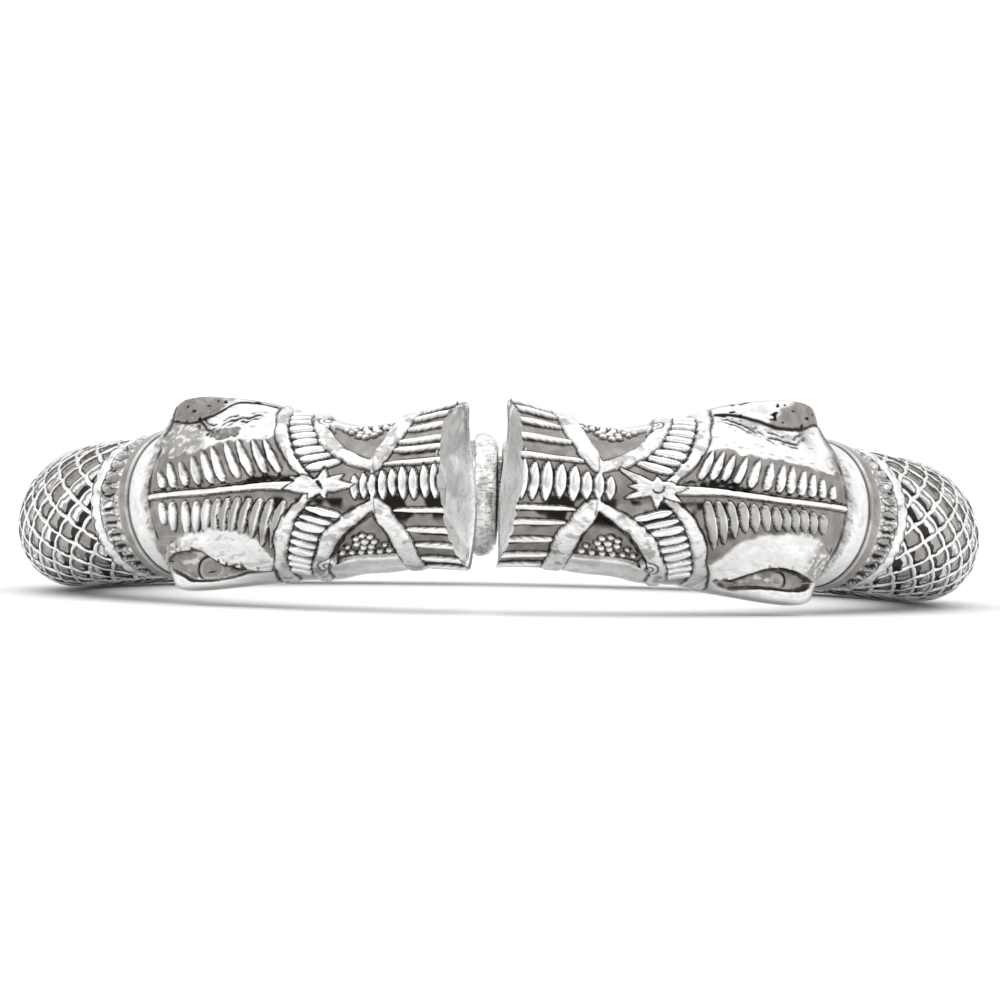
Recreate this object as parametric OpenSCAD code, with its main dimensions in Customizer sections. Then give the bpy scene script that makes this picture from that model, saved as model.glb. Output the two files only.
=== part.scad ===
// Hinged silver bangle: two curved arms covered with a net of scales, each ending in a beast head.
// The bangle lies on its side. +Z is up, the wrist passes along Z and the heads face -Y.
// The origin is on the surface that it rests on, in the middle of its outline.

/* [Ring] */
// Width across the two sides, over the scales
outer_w = 80; // [78:1:88]
// Diameter of the tube under the scales
tube_d = 10.9; // [10:0.1:12]
// Angle from the front at which a head starts
collar_angle = 48; // [47:1:50]
// How far each arm leans outwards and down, in degrees
arm_lean = 5.3; // [3:0.1:6]
// How far each arm climbs towards the front, in degrees
arm_climb = 2.1; // [1:0.1:3]

/* [Scales] */
// Scales round the tube
scales_round = 16; // [12:2:16]
// Half rows of scales along an arm
scale_rows = 44; // [36:2:44]
// Height of the raised net over the tube
net_h = 0.27; // [0.1:0.01:0.3]
// Depth of a scale under the tube's surface
scale_sink = 0.22; // [0.05:0.01:0.3]
// How far the tube's outermost line lies under its axis at the sides
tube_skew = 0.7; // [0:0.1:1]

/* [Heads] */
// Radius of the curve that a head follows
head_bend_r = 43.4; // [40:0.1:46]
// Length of the left head along its curve
left_head_l = 26.1; // [25:0.1:27]
// Length of the right head along its curve
right_head_l = 28.5; // [27:0.1:29]
// Turn of each head about its own axis, which raises its outer middle line, in degrees
head_roll = 9; // [0:1:12]
// How far the left head's ears reach from its centre line
left_ear_h = 7.8; // [7.4:0.05:8.4]
// How far the right head's ears reach from its centre line
right_ear_h = 8.25; // [7.4:0.05:8.4]
// Height of raised bands, bars and strokes
relief_h = 0.38; // [0.2:0.01:0.5]
// Depth of the sunken windows near the muzzle
window_sink = 0.75; // [0.3:0.05:1]
// Depth of the dished muzzle face
muzzle_dish = 1.3; // [0.5:0.1:2]
// How far the muzzle's top and bottom corners reach beyond its outer middle
corner_out = 0.7; // [0:0.1:1]

/* [Hinge] */
// Diameter of the hinge pin
pin_d = 1; // [0.8:0.1:1.2]
// Diameter of the knuckles
knuckle_d = 3; // [2.6:0.1:3.2]
// Height of one knuckle
knuckle_h = 1.9; // [1.6:0.1:2]
// Slit between the two arms at the back
back_slit = 0.3; // [0.2:0.05:0.5]

/* [Hidden] */
$fn = 48;

silver = [0.84, 0.83, 0.81];
pin_silver = [0.7, 0.69, 0.68];

tube_r = tube_d / 2;
// The lean draws the sides in by this much
lean_in = 0.1;
ring_r = outer_w / 2 - tube_r - net_h + lean_in;
// Height of the tube's axis at the sides. The lean lowers the scales a little further out
lean_drop = 0.38;
axis_z = tube_r + net_h + lean_drop;

// Moves the arms so that the origin is in the middle of the outline
outline_y = 0.55;

// The heads' curves turn about these points, seen from above
head_cx = (ring_r - head_bend_r) * sin(collar_angle);
head_cy = (head_bend_r - ring_r) * cos(collar_angle);

// Stations along a head are given on a head of this length and stretched to each head's own
pattern_l = 27.2;
// Places round a head are given as distances from its outer middle line on this radius
girth_r = 6.3;

body_cols = 2 * scales_round;
head_cols = 3 * scales_round;
// The points of a head's section are drawn together on the outer side by this much
outer_bunch = 0.3;

// The scales stop short of the back end and of the collar
tail_angle = 174.6;
// Plain rings at the back end, which lie inside the end band and in the groove before it
TAIL_LAPS = [2.4, 0.4];
tail_step = 0.35;
net_end_angle = collar_angle + 5.6;
net_step = (tail_angle - net_end_angle) / scale_rows;
// A thin ring, then one row of small scales, lie between the net and the collar
RING_ANGLES = [4.9, 4.1];
ring_h = 0.3;
SMALL_ROW_ANGLES = [3.4, 2];
collar_foot_angle = 0.6;

// The collar's raised edge: [station, radius], then a plain band up to the pattern
COLLAR = [[0.1, 5.6], [0.3, 6.15], [1, 6.2], [1.2, 5.9]];
collar_end = 3.1;

// How far a head's centre line lies over the arm's own plane: [station, height]
HEAD_LIFT = [[0, 0], [5, 0.1], [10, 0], [14, -0.3], [18, -0.8], [21, -0.95], [24, -0.75], [27.2, -0.5]];
// The roll sets in over this much of the collar
roll_l = 4;
// The skewed part of the tube fades out over these angles at both ends
SKEW_ENDS = [55, 80, 140, 172];

// Radius of a head by station: [fraction of its length, radius]
HEAD_R = [[0, 5.75], [0.12, 5.95], [0.25, 6.25], [0.45, 6.65], [0.6, 6.4],
          [0.72, 5.85], [0.85, 5.8], [0.95, 6.1], [1, 6.35]];

// The ear's section at its fullest: [angle round the head, outward, up]
EAR = [[34, 5.3, 3.6], [40, 5.0, 4.2], [47, 4.3, 4.9], [54, 3.1, 5.4], [62, 2.6, 6.1],
       [70, 3.0, 6.8], [77, 3.6, 7.3], [83, 3.9, 7.7], [90, 3.0, 7.9], [98, 1.4, 7.7],
       [106, -0.6, 7.1], [116, -2.6, 6.2], [128, -4.2, 5.0], [142, -4.96, 3.88]];
LEFT_EAR = [2.5, 13];
RIGHT_EAR = [3.2, 13.2];
// The lower ear starts this much further from the collar
lower_ear_shift = 0.5;
// Below 1, the ear is fullest nearer to the collar
ear_skew = 0.6;
ear_table_h = 8;

// How far a ring of points is drawn back towards the collar, by distance round the head:
// along the band behind the ear field, and along the near leg of the window
DRAW_BAND = [[0, 0], [0.87, 0], [1.82, 1.87], [3.29, 3.07], [5.19, 4.37], [7.7, 5.6], [12, 5.6], [20, 0]];
DRAW_LEG = [[0, 0], [1.7, 0], [2.45, 1.6], [3.8, 3.25], [5.2, 4.65], [7.7, 6.2], [12, 6.2], [20, 0]];
band_station = 18.1;
leg_station = 22.5;
far_leg_station = 24;
// The strokes turn from straight rings at the collar to the band's own slant
slant_start = 1;
slant_end = 20;
slant_gain = 1.05;

// Kinds of rings along a head
PLAIN = 0;
STROKES = 1;
BAND = 2;
BARS = 3;
LEG = 4;
WINDOW = 5;
FLUTES = 6;

stroke_count = 10;
stroke_first = 3.7;
stroke_step = 0.69;
rung_count = 8;
rung_first = 21.2;
rung_step = 0.375;

// Columns round a head, counted from its outer middle line: the last one of the strokes,
// the first and last one of the side pattern, and the granules in the window
stroke_col = 5;
side_col = 3;
last_col = 16;
window_col = 14;
GRANULE_COLS = [8, 9];
groove = 0.1;
granule_depth = 0.4;
bar_h = 0.8;
ridge_h = 1.3;

// The muzzle's edge, its rounded lip and the dish: [how far in, radius, part of the corners' reach]
MUZZLE = [[0, 6.25, 1], [0.1, 5.9, 1], [muzzle_dish * 0.75, 3.6, 0.2]];
corner_r = 0.25;
corner_start = 20;

// [station, kind, raised or not] of each ring from the collar to the muzzle's edge
HEAD_RINGS = concat(
    [[collar_end, PLAIN, 0]],
    [for (i = [0 : 2 * stroke_count - 1]) [stroke_first + i * stroke_step, STROKES, i % 2]],
    [[17.7, BAND, 0], [18.1, BAND, 1], [18.7, BAND, 1], [19.3, BARS, 0]],
    [for (i = [0 : 2 * rung_count - 1]) [rung_first + i * rung_step,
                         i < 3 ? BARS : i < 5 ? LEG : i < 7 ? WINDOW : i < 9 ? LEG : FLUTES, i % 2]]);

function ease(a, b, x) =
    let (t = min(1, max(0, (x - a) / (b - a)))) t * t * (3 - 2 * t);
function mix(a, b, t) = a + (b - a) * t;

// Angles round a section, closer together on the outer side of a head
function body_angle(j) = 360 * j / body_cols;
function head_angle(j) =
    let (u = 360 * j / head_cols) u - outer_bunch * 180 / PI * sin(u);
// The same angle from -180 to 180
function signed(a) = a > 180 ? a - 360 : a;

// A point beside the axis: c is a place on the axis in the arm's own plane, out the direction
// away from the wrist. The plane then leans outwards about the arm's side and climbs to the front
function place(side, c, out, n, z) =
    let (x = c[0] + out[0] * n - ring_r,
         y = c[1] + out[1] * n,
         x2 = x * cos(arm_lean) + z * sin(arm_lean),
         z2 = z * cos(arm_lean) - x * sin(arm_lean))
    [side * (ring_r + x2), y * cos(arm_climb) + z2 * sin(arm_climb),
     axis_z + z2 * cos(arm_climb) - y * sin(arm_climb)];

// A point of the scaled tube at angle a from the front
function body_point(side, a, b, r) =
    let (skew = tube_skew / tube_r * ease(SKEW_ENDS[0], SKEW_ENDS[1], a)
                * (1 - ease(SKEW_ENDS[2], SKEW_ENDS[3], a)))
    place(side, [ring_r * sin(a), -ring_r * cos(a)], [sin(a), -cos(a)],
          r * cos(b), r * sin(b) - skew * r * cos(b));

// A point of a head at a station, in the section's own outward and upward sizes
function head_point(side, head_l, s, n, z) =
    let (a = collar_angle - s / pattern_l * head_l / head_bend_r * 180 / PI,
         roll = head_roll * ease(0, roll_l, s))
    place(side, [head_cx + head_bend_r * sin(a), head_cy - head_bend_r * cos(a)], [sin(a), -cos(a)],
          n * cos(roll) - z * sin(roll), n * sin(roll) + z * cos(roll) + lookup(s, HEAD_LIFT));

// How full the ear is at a station, steep at the collar and gentle towards the muzzle
function ear_fill(s, span) =
    let (u = (s - span[0]) / (span[1] - span[0]))
    u <= 0 || u >= 1 ? 0 : sqrt(sin(180 * pow(u, ear_skew)));

// How much of a corner the muzzle has at angle a round the head
function corner(a) = pow(abs(sin(a)), 6);

// How far a ring is drawn back at distance w round the head
function draw_back(s, w) =
    s <= collar_end ? 0 :
    s <= band_station ? lookup(w, DRAW_BAND) * ease(slant_start, slant_end, s) * slant_gain :
    s <= leg_station ? mix(lookup(w, DRAW_BAND), lookup(w, DRAW_LEG),
                           (s - band_station) / (leg_station - band_station)) :
    s <= far_leg_station ? lookup(w, DRAW_LEG) * (far_leg_station - s) / (far_leg_station - leg_station) : 0;

// Whether column k is in the side pattern
function at_side(k, last) = k >= side_col && k <= last;

// Height of the cast relief at column k of one ring
function relief(kind, up, k, s) =
    kind == PLAIN ? 0 :
    kind == STROKES ? (k == 0 ? relief_h :
                       k == 1 ? -groove :
                       k <= stroke_col ? (up ? relief_h : -groove) : 0) :
    kind == BAND ? (k <= 1 ? ridge_h * relief_h : k <= last_col ? up * relief_h : 0) :
    // A ladder of rungs runs along the middle from the flower to the muzzle
    k <= 1 && s >= rung_first ? (up ? relief_h : -groove) :
    kind == BARS ? (at_side(k, last_col) && k % 2 == 1 ? relief_h * bar_h : -groove) :
    kind == LEG ? (at_side(k, last_col) ? relief_h : 0) :
    kind == FLUTES ? (at_side(k, last_col) && k % 2 == 1 ? relief_h * bar_h : -groove) :
    k == side_col ? relief_h :
    at_side(k, window_col) ? -window_sink * (search(k, GRANULE_COLS) == [] ? 1 : granule_depth) : 0;

function head_vertex(side, head_l, ear_h, span, ring, j) =
    let (a = signed(head_angle(j)),
         k = min(j, head_cols - j),
         w = abs(a) * PI / 180 * girth_r,
         flare = max(0, ring[0] - corner_start) / (pattern_l - corner_start) * corner(a),
         s = ring[0] - draw_back(ring[0], w) + flare * corner_out,
         r = lookup(ring[0] / pattern_l, HEAD_R) + flare * corner_r + relief(ring[1], ring[2], k, ring[0]),
         n = r * cos(a),
         z = r * sin(a),
         at_ear = abs(a) >= EAR[0][0] && abs(a) <= EAR[len(EAR) - 1][0],
         e = at_ear ? ear_fill(s, [span[0] + (a < 0 ? lower_ear_shift : 0), span[1]]) : 0,
         ear_n = lookup(abs(a), [for (p = EAR) [p[0], p[1]]]),
         ear_z = lookup(abs(a), [for (p = EAR) [p[0], p[2]]]),
         lip = EAR[1][2],
         tall = ear_z <= lip ? ear_z : lip + (ear_z - lip) * (ear_h - lip) / (ear_table_h - lip))
    head_point(side, head_l, s, mix(n, ear_n, e), mix(z, sign(a) * tall, e));

// A smooth ring of a head, round but for its part of the corners
function round_ring(side, head_l, s, r, corners = 0) =
    [for (j = [0 : head_cols - 1])
        let (a = head_angle(j), c = corners * corner(a), rc = r + corner_r * c)
        head_point(side, head_l, s + corner_out * c, rc * cos(a), rc * sin(a))];

// A ring of the scaled tube, its points raised and sunk by turns
function net_ring(side, a, i, up, down) =
    [for (j = [0 : body_cols - 1])
        body_point(side, a, body_angle(j), tube_r + ((i + j) % 2 == 0 ? up : -down))];

// All rings with the tube's number of points, from the back end to the collar
function body_rings(side) = concat(
    [for (lap = TAIL_LAPS) net_ring(side, tail_angle + lap, 0, -tail_step, tail_step)],
    [for (i = [0 : scale_rows]) net_ring(side, tail_angle - i * net_step, i, net_h, scale_sink)],
    [for (a = RING_ANGLES) net_ring(side, collar_angle + a, 0, ring_h, -ring_h)],
    [for (i = [0, 1]) net_ring(side, collar_angle + SMALL_ROW_ANGLES[i], i, net_h, scale_sink)],
    [net_ring(side, collar_angle + collar_foot_angle, 0, 0, 0)]);

// All rings with a head's number of points, from the collar to the middle of the dished face
function head_rings(side, head_l, ear_h, span) = concat(
    [for (p = COLLAR) round_ring(side, head_l, p[0], p[1])],
    [for (ring = HEAD_RINGS)
        [for (j = [0 : head_cols - 1]) head_vertex(side, head_l, ear_h, span, ring, j)]],
    [for (p = MUZZLE) round_ring(side, head_l, pattern_l - p[0], p[1], p[2])]);

function flatten(lists) = [for (l = lists) for (p = l) p];

// Triangles between two rings of equal length that start at points a and b
// The split follows the raised net where turn is 0 or 1
function strip(a, b, count, turn) =
    [for (j = [0 : count - 1])
        let (k = (j + 1) % count)
        each (j + turn) % 2 == 0
            ? [[a + j, b + k, a + k], [a + j, b + j, b + k]]
            : [[a + j, b + j, a + k], [a + k, b + j, b + k]]];

// Five triangles join each two points of the tube's last ring to three of the head's first
function step_up(a, b) =
    [for (q = [0 : scales_round - 1])
        let (a0 = a + 2 * q, a1 = a0 + 1, a2 = a + (2 * q + 2) % body_cols,
             b0 = b + 3 * q, b1 = b0 + 1, b2 = b0 + 2, b3 = b + (3 * q + 3) % head_cols)
        each [[a0, b0, b1], [a0, b1, a1], [a1, b1, b2], [a1, b2, a2], [a2, b2, b3]]];

// The cast arm from its back end to its muzzle, as one closed skin
module arm_skin(side, head_l, ear_h, span) {
    tube = body_rings(side);
    head = head_rings(side, head_l, ear_h, span);
    tube_n = len(tube) * body_cols;
    points = concat(flatten(tube), flatten(head),
                    [head_point(side, head_l, pattern_l - muzzle_dish, 0, 0)]);
    tip = len(points) - 1;
    last = tip - head_cols;
    faces = concat(
        [[for (j = [0 : body_cols - 1]) j]],
        [for (i = [0 : len(tube) - 2])
            each strip(i * body_cols, (i + 1) * body_cols, body_cols, (i + len(TAIL_LAPS)) % 2)],
        step_up(tube_n - body_cols, tube_n),
        [for (i = [0 : len(head) - 2])
            each strip(tube_n + i * head_cols, tube_n + (i + 1) * head_cols, head_cols, 0)],
        [for (j = [0 : head_cols - 1]) [last + j, tip, last + (j + 1) % head_cols]]);
    polyhedron(points, side > 0 ? faces : [for (f = faces) [for (i = [len(f) - 1 : -1 : 0]) f[i]]]);
}

// The hinge at the back, beyond the outer side of the arms
pin_out = 0.65;
hinge_y = ring_r + tube_r + pin_out;
back_z = axis_z + ring_r * (sin(arm_lean) - sin(arm_climb));
knuckle_gap = 0.15;
// The room for the other arm's knuckle is a little taller, so its ends lie in no face of the webs
room_gap = knuckle_gap + 0.06;
knuckle_pitch = knuckle_h + knuckle_gap;
web_l = knuckle_d / 2 + 0.7;
end_band_r = tube_r + 0.05;
end_band_w = 2.3;
// Profile of the end band from its middle outwards, with a rounded edge at the slit
END_BAND = [[0, 0], [end_band_r - 0.5, 0], [end_band_r - 0.15, 0.15],
            [end_band_r, 0.5], [end_band_r, end_band_w], [0, end_band_w]];
pin_clearance = 0.04;

module at_hinge(z) {
    translate([0, hinge_y, back_z + z])
        children();
}

// One knuckle with the web that joins it to the end band
module knuckle(side, z) {
    at_hinge(z) {
        cylinder(h = knuckle_h, d = knuckle_d, center = true);
        translate([side > 0 ? back_slit / 2 : -knuckle_d / 2, -web_l, -knuckle_h / 2])
            cube([knuckle_d / 2 - back_slit / 2, web_l, knuckle_h]);
    }
}

// Room for the other arm's knuckle to turn in
module knuckle_room(z) {
    at_hinge(z)
        cylinder(h = knuckle_h + 2 * room_gap, d = knuckle_d + 2 * knuckle_gap, center = true);
}

// The smooth rim on an arm's back end, with its knuckles
module end_band(side, own, other) {
    difference() {
        union() {
            difference() {
                translate([side * back_slit / 2, ring_r, back_z])
                    rotate([0, side * 90, 0])
                        rotate_extrude()
                            polygon(END_BAND);
                for (z = other)
                    knuckle_room(z * knuckle_pitch);
            }
            for (z = own)
                knuckle(side, z * knuckle_pitch);
        }
        at_hinge(0)
            cylinder(h = 4 * knuckle_pitch, d = pin_d + 2 * pin_clearance, center = true);
    }
}

module left_arm() {
    color(silver)
        translate([0, outline_y, 0]) {
            arm_skin(-1, left_head_l, left_ear_h, LEFT_EAR);
            end_band(-1, [-1, 1], [0]);
        }
}

module right_arm() {
    color(silver)
        translate([0, outline_y, 0]) {
            arm_skin(1, right_head_l, right_ear_h, RIGHT_EAR);
            end_band(1, [0], [-1, 1]);
        }
}

// A plain riveted pin through the three knuckles
module hinge_pin() {
    rivet_play = 0.05;
    reach = 1.5 * knuckle_h + knuckle_gap + rivet_play;
    rivet_h = 0.35;
    rivet_d = pin_d + 0.7;
    color(pin_silver)
        translate([0, outline_y, 0])
            at_hinge(0) {
                cylinder(h = 2 * reach + 2 * rivet_h, d = pin_d, center = true);
                for (end = [-1, 1])
                    translate([0, 0, end * (reach + rivet_h / 2)])
                        cylinder(h = rivet_h, d = rivet_d, center = true);
            }
}

left_arm();
right_arm();
hinge_pin();
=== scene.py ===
"""Dresses the hinged silver bangle: scale nets, beast heads, back ends, studio and camera."""
import math
from functools import partial

import bpy
import numpy as np
from mathutils import Matrix, Vector


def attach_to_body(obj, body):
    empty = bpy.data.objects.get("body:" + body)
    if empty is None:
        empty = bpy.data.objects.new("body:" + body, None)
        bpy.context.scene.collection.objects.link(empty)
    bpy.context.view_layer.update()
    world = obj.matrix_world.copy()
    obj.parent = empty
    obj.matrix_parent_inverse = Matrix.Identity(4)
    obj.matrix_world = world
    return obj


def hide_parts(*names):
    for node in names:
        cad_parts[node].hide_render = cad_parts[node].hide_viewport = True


bl_info = {
    "name": "Beast head bangle",
    "version": (1, 0, 0),
    "blender": (4, 5, 0),
    "location": "View3D > Sidebar > Bangle",
    "description": "Models a hinged cast silver bangle with scaled arms and beast heads",
    "category": "Object",
}

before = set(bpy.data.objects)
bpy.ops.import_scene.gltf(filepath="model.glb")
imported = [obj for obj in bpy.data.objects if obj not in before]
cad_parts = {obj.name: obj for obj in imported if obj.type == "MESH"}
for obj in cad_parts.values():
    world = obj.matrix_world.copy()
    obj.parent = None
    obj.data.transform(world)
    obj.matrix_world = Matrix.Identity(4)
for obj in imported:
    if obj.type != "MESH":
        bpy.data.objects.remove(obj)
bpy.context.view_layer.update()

MM = 0.001
LEFT, RIGHT = -1, 1
ARM = {LEFT: "left", RIGHT: "right"}
BODY = {LEFT: "left_side", RIGHT: "right_side"}

# The photograph's view: rise and roll in degrees, distance in metres, lens and sensor in millimetres
VIEW_RISE, VIEW_ROLL, VIEW_DISTANCE = 1.0, 1.0, 0.5
LENS, SENSOR = 216, 36
# A point in millimetres, and how many pixels it lies below the picture's middle
AIM, AIM_BELOW_PX, PX_PER_MM = (0.06, 0, 7.75), 5, 12
# Soft lamps: name, place in metres, size in metres, power in watts
LAMPS = (("key", (-0.35, -0.3, 0.6), 1.0, 1.3), ("fill", (0.45, -0.2, 0.5), 1.0, 0.8),
         ("top", (0, 0.15, 0.8), 1.2, 1.2))
# Where the grey patch of the room lies, how wide it is, and the light beside it and in it
ROOM_FRONT, ROOM_EDGE, ROOM_LIGHT = (0.0, -0.98, 0.17), (0.5, 0.97), (1.1, 0.78)

# The arms' curve and section, in millimetres and degrees, as in the CAD source
TUBE_R = 5.45
RING_R = 34.38
AXIS_Z = 6.1
OUTLINE_Y = 0.55
COLLAR_ANGLE = 48.0
ARM_LEAN = 5.3
ARM_CLIMB = 2.1
TUBE_SKEW = 0.7
SKEW_IN, SKEW_OUT = (55.0, 80.0), (140.0, 172.0)
BEND_R = 43.4
HEAD_CENTRE = ((RING_R - BEND_R) * math.sin(math.radians(COLLAR_ANGLE)),
               (BEND_R - RING_R) * math.cos(math.radians(COLLAR_ANGLE)))
HEAD_L = {LEFT: 26.1, RIGHT: 28.5}
HEAD_ROLL = 9.0
ROLL_L = 4.0
# Stations run along a head from 0 at the collar to this, and angles round it from its outer middle line
STATIONS = 27.2
GIRTH_R = 6.3
HEAD_LIFT = ((0, 0), (5, 0.1), (10, 0), (14, -0.3), (18, -0.8), (21, -0.95), (24, -0.75), (27.2, -0.5))
HEAD_R = ((0, 5.75), (3.26, 5.95), (6.8, 6.25), (12.24, 6.65), (16.32, 6.4), (19.58, 5.85), (23.12, 5.8),
          (25.84, 6.1), (27.2, 6.35))
EAR_H = {LEFT: 7.8, RIGHT: 8.25}
EAR_SPAN = {LEFT: (2.5, 13.0), RIGHT: (3.2, 13.2)}
# An ear's section: angle, distance outwards, height
EAR_SECTION = ((34, 5.3, 3.6), (40, 5.05, 4.2), (46, 4.6, 4.8), (50, 4.3, 5.15), (54, 4.1, 5.5),
               (62, 3.9, 6.15), (70, 3.85, 6.8), (77, 3.85, 7.3), (83, 3.75, 7.7), (90, 2.9, 7.85),
               (98, 1.4, 7.65), (106, -0.6, 7.05), (116, -2.6, 6.15), (128, -4.2, 5.0), (142, -4.96, 3.88))
EAR_N, EAR_Z = (tuple((row[0], row[i]) for row in EAR_SECTION) for i in (1, 2))
EAR_LIP, EAR_TABLE_H = 4.2, 8.0
EAR_RISE = 7
EAR_SKEW = 0.6
LOWER_EAR_SHIFT = 0.5
CORNER_START, CORNER_OUT, CORNER_R = 20.0, 0.7, 0.25
NEAR_RIM_OUT = {LEFT: 0.3, RIGHT: 0.55}
TOP_CORNER_OUT = {LEFT: 0.65, RIGHT: 0.35}
FAR_RIM_OUT = {LEFT: 0.3, RIGHT: 0.0}
RIM_START, TEETH_START, TEETH_OUT = 22, 26.2, 0.28
MUZZLE_R = 6.2
DISH = 1.3
BACK_Z = 8.016
BACK_SLIT = 0.3
END_ROUND, END_STEPS = 1.4, 12
# The back end's outline past its rounding: how far in, and distance from the slit
END_TAIL = ((0, 1.75), (0.02, 1.85), (0.12, 2.0), (0.3, 2.1), (0.7, 2.12))
PIN_OUT = 0.65
KNUCKLE_R, KNUCKLE_H, KNUCKLE_PITCH, WEB_L = 1.5, 1.9, 2.05, 2.2

# Grids: angles round a section as (first, past, step), and rows along as (first, last, count)
HEAD_ANGLES = ((-88, 88.01, 0.8), (90, 142.01, 2.0), (147, 180, 5.5))
HEAD_FOOT, HEAD_ROWS, MUZZLE_ROWS = (-0.35, -0.2, -0.1), 296, 34
TUBE_ANGLES = ((-98, 98.01, 1.0), (102, 179, 4.0))

# The net of scales: half a scale along and round, where one pocket lies on each arm, and where the net ends
NET_STEP = 3.03
NET_TURN = 11.25
NET_LANE = 1.83
SCALE_BULGE = 0.11
NET_ORIGIN = {LEFT: (56.7, -3.0), RIGHT: (58.6, 0.0)}
NET_END = 54.3
TUBE_ROWS = ((177.2, 90, 180), (90, NET_END, 156), (NET_END, 47.75, 50))
NET_TAIL = (174.0, 175.2)
RING_A = (52.2, 54.2)
ROW_EDGE = 48.05
# Pockets and lumps by the collar: shift in turns, angle, half length, half width, greyness
SMALL_ROW = ((0.5, 50.8, 0.85, 0.42, 1.0), (0.0, 49.1, 0.34, 0.36, 0.3))

# The collar's polished ring and white band end at these stations, and the carved field lies beyond
COLLAR_RING_END, COLLAR_END = 1.05, 3.42
FIELD_START, FIELD_HALF = (3.3, 3.5), (9.6, 10.4)
# Edges of the bands on a head, as (distance from the outer middle line, station)
BAND_OUTER = ((0.3, 17.6), (0.6, 17.3), (1.0, 17.0), (1.5, 16.4), (2.3, 15.7), (3.5, 14.9), (4.6, 14.3),
              (5.6, 14.0), (7.2, 13.2), (10, 12.6))
BAND_INNER = ((0.3, 18.6), (0.9, 18.0), (1.2, 17.7), (2.0, 17.0), (3.0, 16.3), (4.0, 15.8), (5.0, 15.3),
              (7.2, 14.4), (10, 13.8))
NEAR_OUTER = ((1.15, 22.4), (1.6, 21.5), (2.0, 20.6), (2.5, 19.9), (3.2, 19.0), (4.2, 18.0), (5.2, 17.45),
              (6.0, 16.95), (7.5, 16.2), (10, 15.6))
NEAR_INNER = ((2.2, 22.3), (2.6, 21.7), (3.0, 21.1), (3.4, 20.5), (4.0, 19.8), (5.0, 19.0), (5.8, 18.4),
              (6.5, 17.9), (8.0, 17.2), (10, 16.7))
FAR_NEAR = ((2.2, 22.3), (3.0, 22.5), (4.0, 22.9), (5.0, 23.1), (6.5, 23.2), (10, 23.0))
FAR_FAR = ((1.15, 22.6), (1.8, 23.3), (2.5, 23.7), (3.3, 23.95), (4.4, 24.4), (5.5, 24.6),
           (7, 24.5), (10, 24.4))
MUZZLE_EDGE = ((0, 28.6), (20, 28.6))
# Where the two legs of the inner band meet: station, distance, radius
APEX = (22.55, 1.75, 0.55)
# The ridge and the ladder wander a little off the middle line
MIDLINE = ((3, -0.45), (9, -0.45), (12, -0.3), (14, -0.1), (16, 0.05), (18.5, 0.2), (21, 0.0), (24, -0.15),
           (25.5, -0.4), (27.2, -0.65))
RIDGE_SPAN, GROOVE_END = (3.5, 17.6), 16.9
# Strokes of the ear field: the foot's station and distance, and the tip's
UPPER_STROKES = {
    LEFT: ((5.0, 0.15, 4.2, 1.6), (6.1, 0.1, 5.0, 2.4), (7.4, 0.15, 6.3, 2.2), (8.7, 0.15, 7.4, 2.6),
           (9.95, 0.15, 8.2, 3.1), (11.0, 0.2, 9.1, 3.3), (12.3, 0.5, 10.2, 3.7), (13.4, 0.7, 11.3, 3.8),
           (14.5, 0.9, 12.6, 3.9), (15.5, 1.05, 13.5, 4.1)),
    RIGHT: ((4.8, 0.1, 4.6, 1.3), (5.8, 0.1, 5.6, 1.7), (6.8, 0.1, 6.4, 2.0), (7.8, 0.1, 7.2, 2.2),
            (8.8, 0.12, 8.2, 2.4), (9.75, 0.15, 9.0, 2.5), (10.8, 0.2, 10.0, 2.6), (12.1, 0.3, 11.0, 2.7),
            (13.2, 0.5, 12.0, 2.8), (14.1, 0.75, 12.9, 3.0), (14.9, 0.85, 13.7, 3.2),
            (15.7, 0.95, 14.4, 3.4)),
}
LOWER_STROKES = {
    LEFT: ((4.7, -1.0, 4.6, -2.9), (5.9, -1.05, 5.4, -3.5), (7.2, -1.05, 6.7, -3.7), (8.4, -1.1, 7.6, -3.8),
           (9.5, -1.0, 8.5, -3.7), (10.5, -1.0, 9.4, -3.7), (11.4, -1.0, 10.1, -3.8),
           (12.3, -0.95, 10.8, -3.9), (13.2, -1.0, 11.6, -4.1), (14.1, -1.0, 12.5, -4.2),
           (15.0, -1.0, 13.2, -4.8), (15.9, -1.1, 13.9, -5.0)),
    RIGHT: ((5.6, -1.2, 5.2, -2.8), (6.6, -1.1, 6.1, -2.9), (7.5, -1.0, 6.9, -2.8), (8.4, -1.0, 7.7, -2.8),
            (9.2, -1.0, 8.5, -2.8), (10.0, -0.95, 9.3, -2.8), (10.9, -0.9, 10.2, -2.9),
            (11.8, -0.85, 11.1, -3.0), (12.7, -0.75, 11.9, -3.1), (13.6, -0.75, 12.6, -3.5),
            (14.4, -0.75, 13.2, -4.1), (15.2, -0.7, 13.8, -4.6)),
}
RUNGS = {LEFT: (21.15, 21.85, 22.5, 23.2, 23.9, 24.6, 25.35, 26.15, 26.85, 27.45),
         RIGHT: (21.75, 22.5, 23.25, 24.0, 24.8, 25.6, 26.4, 27.1, 27.7)}
BARS = (1.5, 2.35, 3.2, 4.05, 4.9, 5.8, 6.7, 7.6, 8.5)
# Half a rung's length at the flower's end and at the muzzle
RUNG_H = {LEFT: (1.05, 1.42), RIGHT: (1.0, 1.65)}
RUNG_HALF = {LEFT: 0.32, RIGHT: 0.37}
# Distances of the flutes from the middle line, upwards and then downwards
FLUTES = {LEFT: (1.75, 2.95, 3.75, 5.1, 6.5, 8.0, -2.35, -4.1, -5.6, -7.3, -8.8),
          RIGHT: (2.05, 3.75, 5.35, 6.9, 8.3, -2.25, -3.5, -5.15, -6.9, -8.5)}
FLOWER = (18.55, 0.25)
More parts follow.
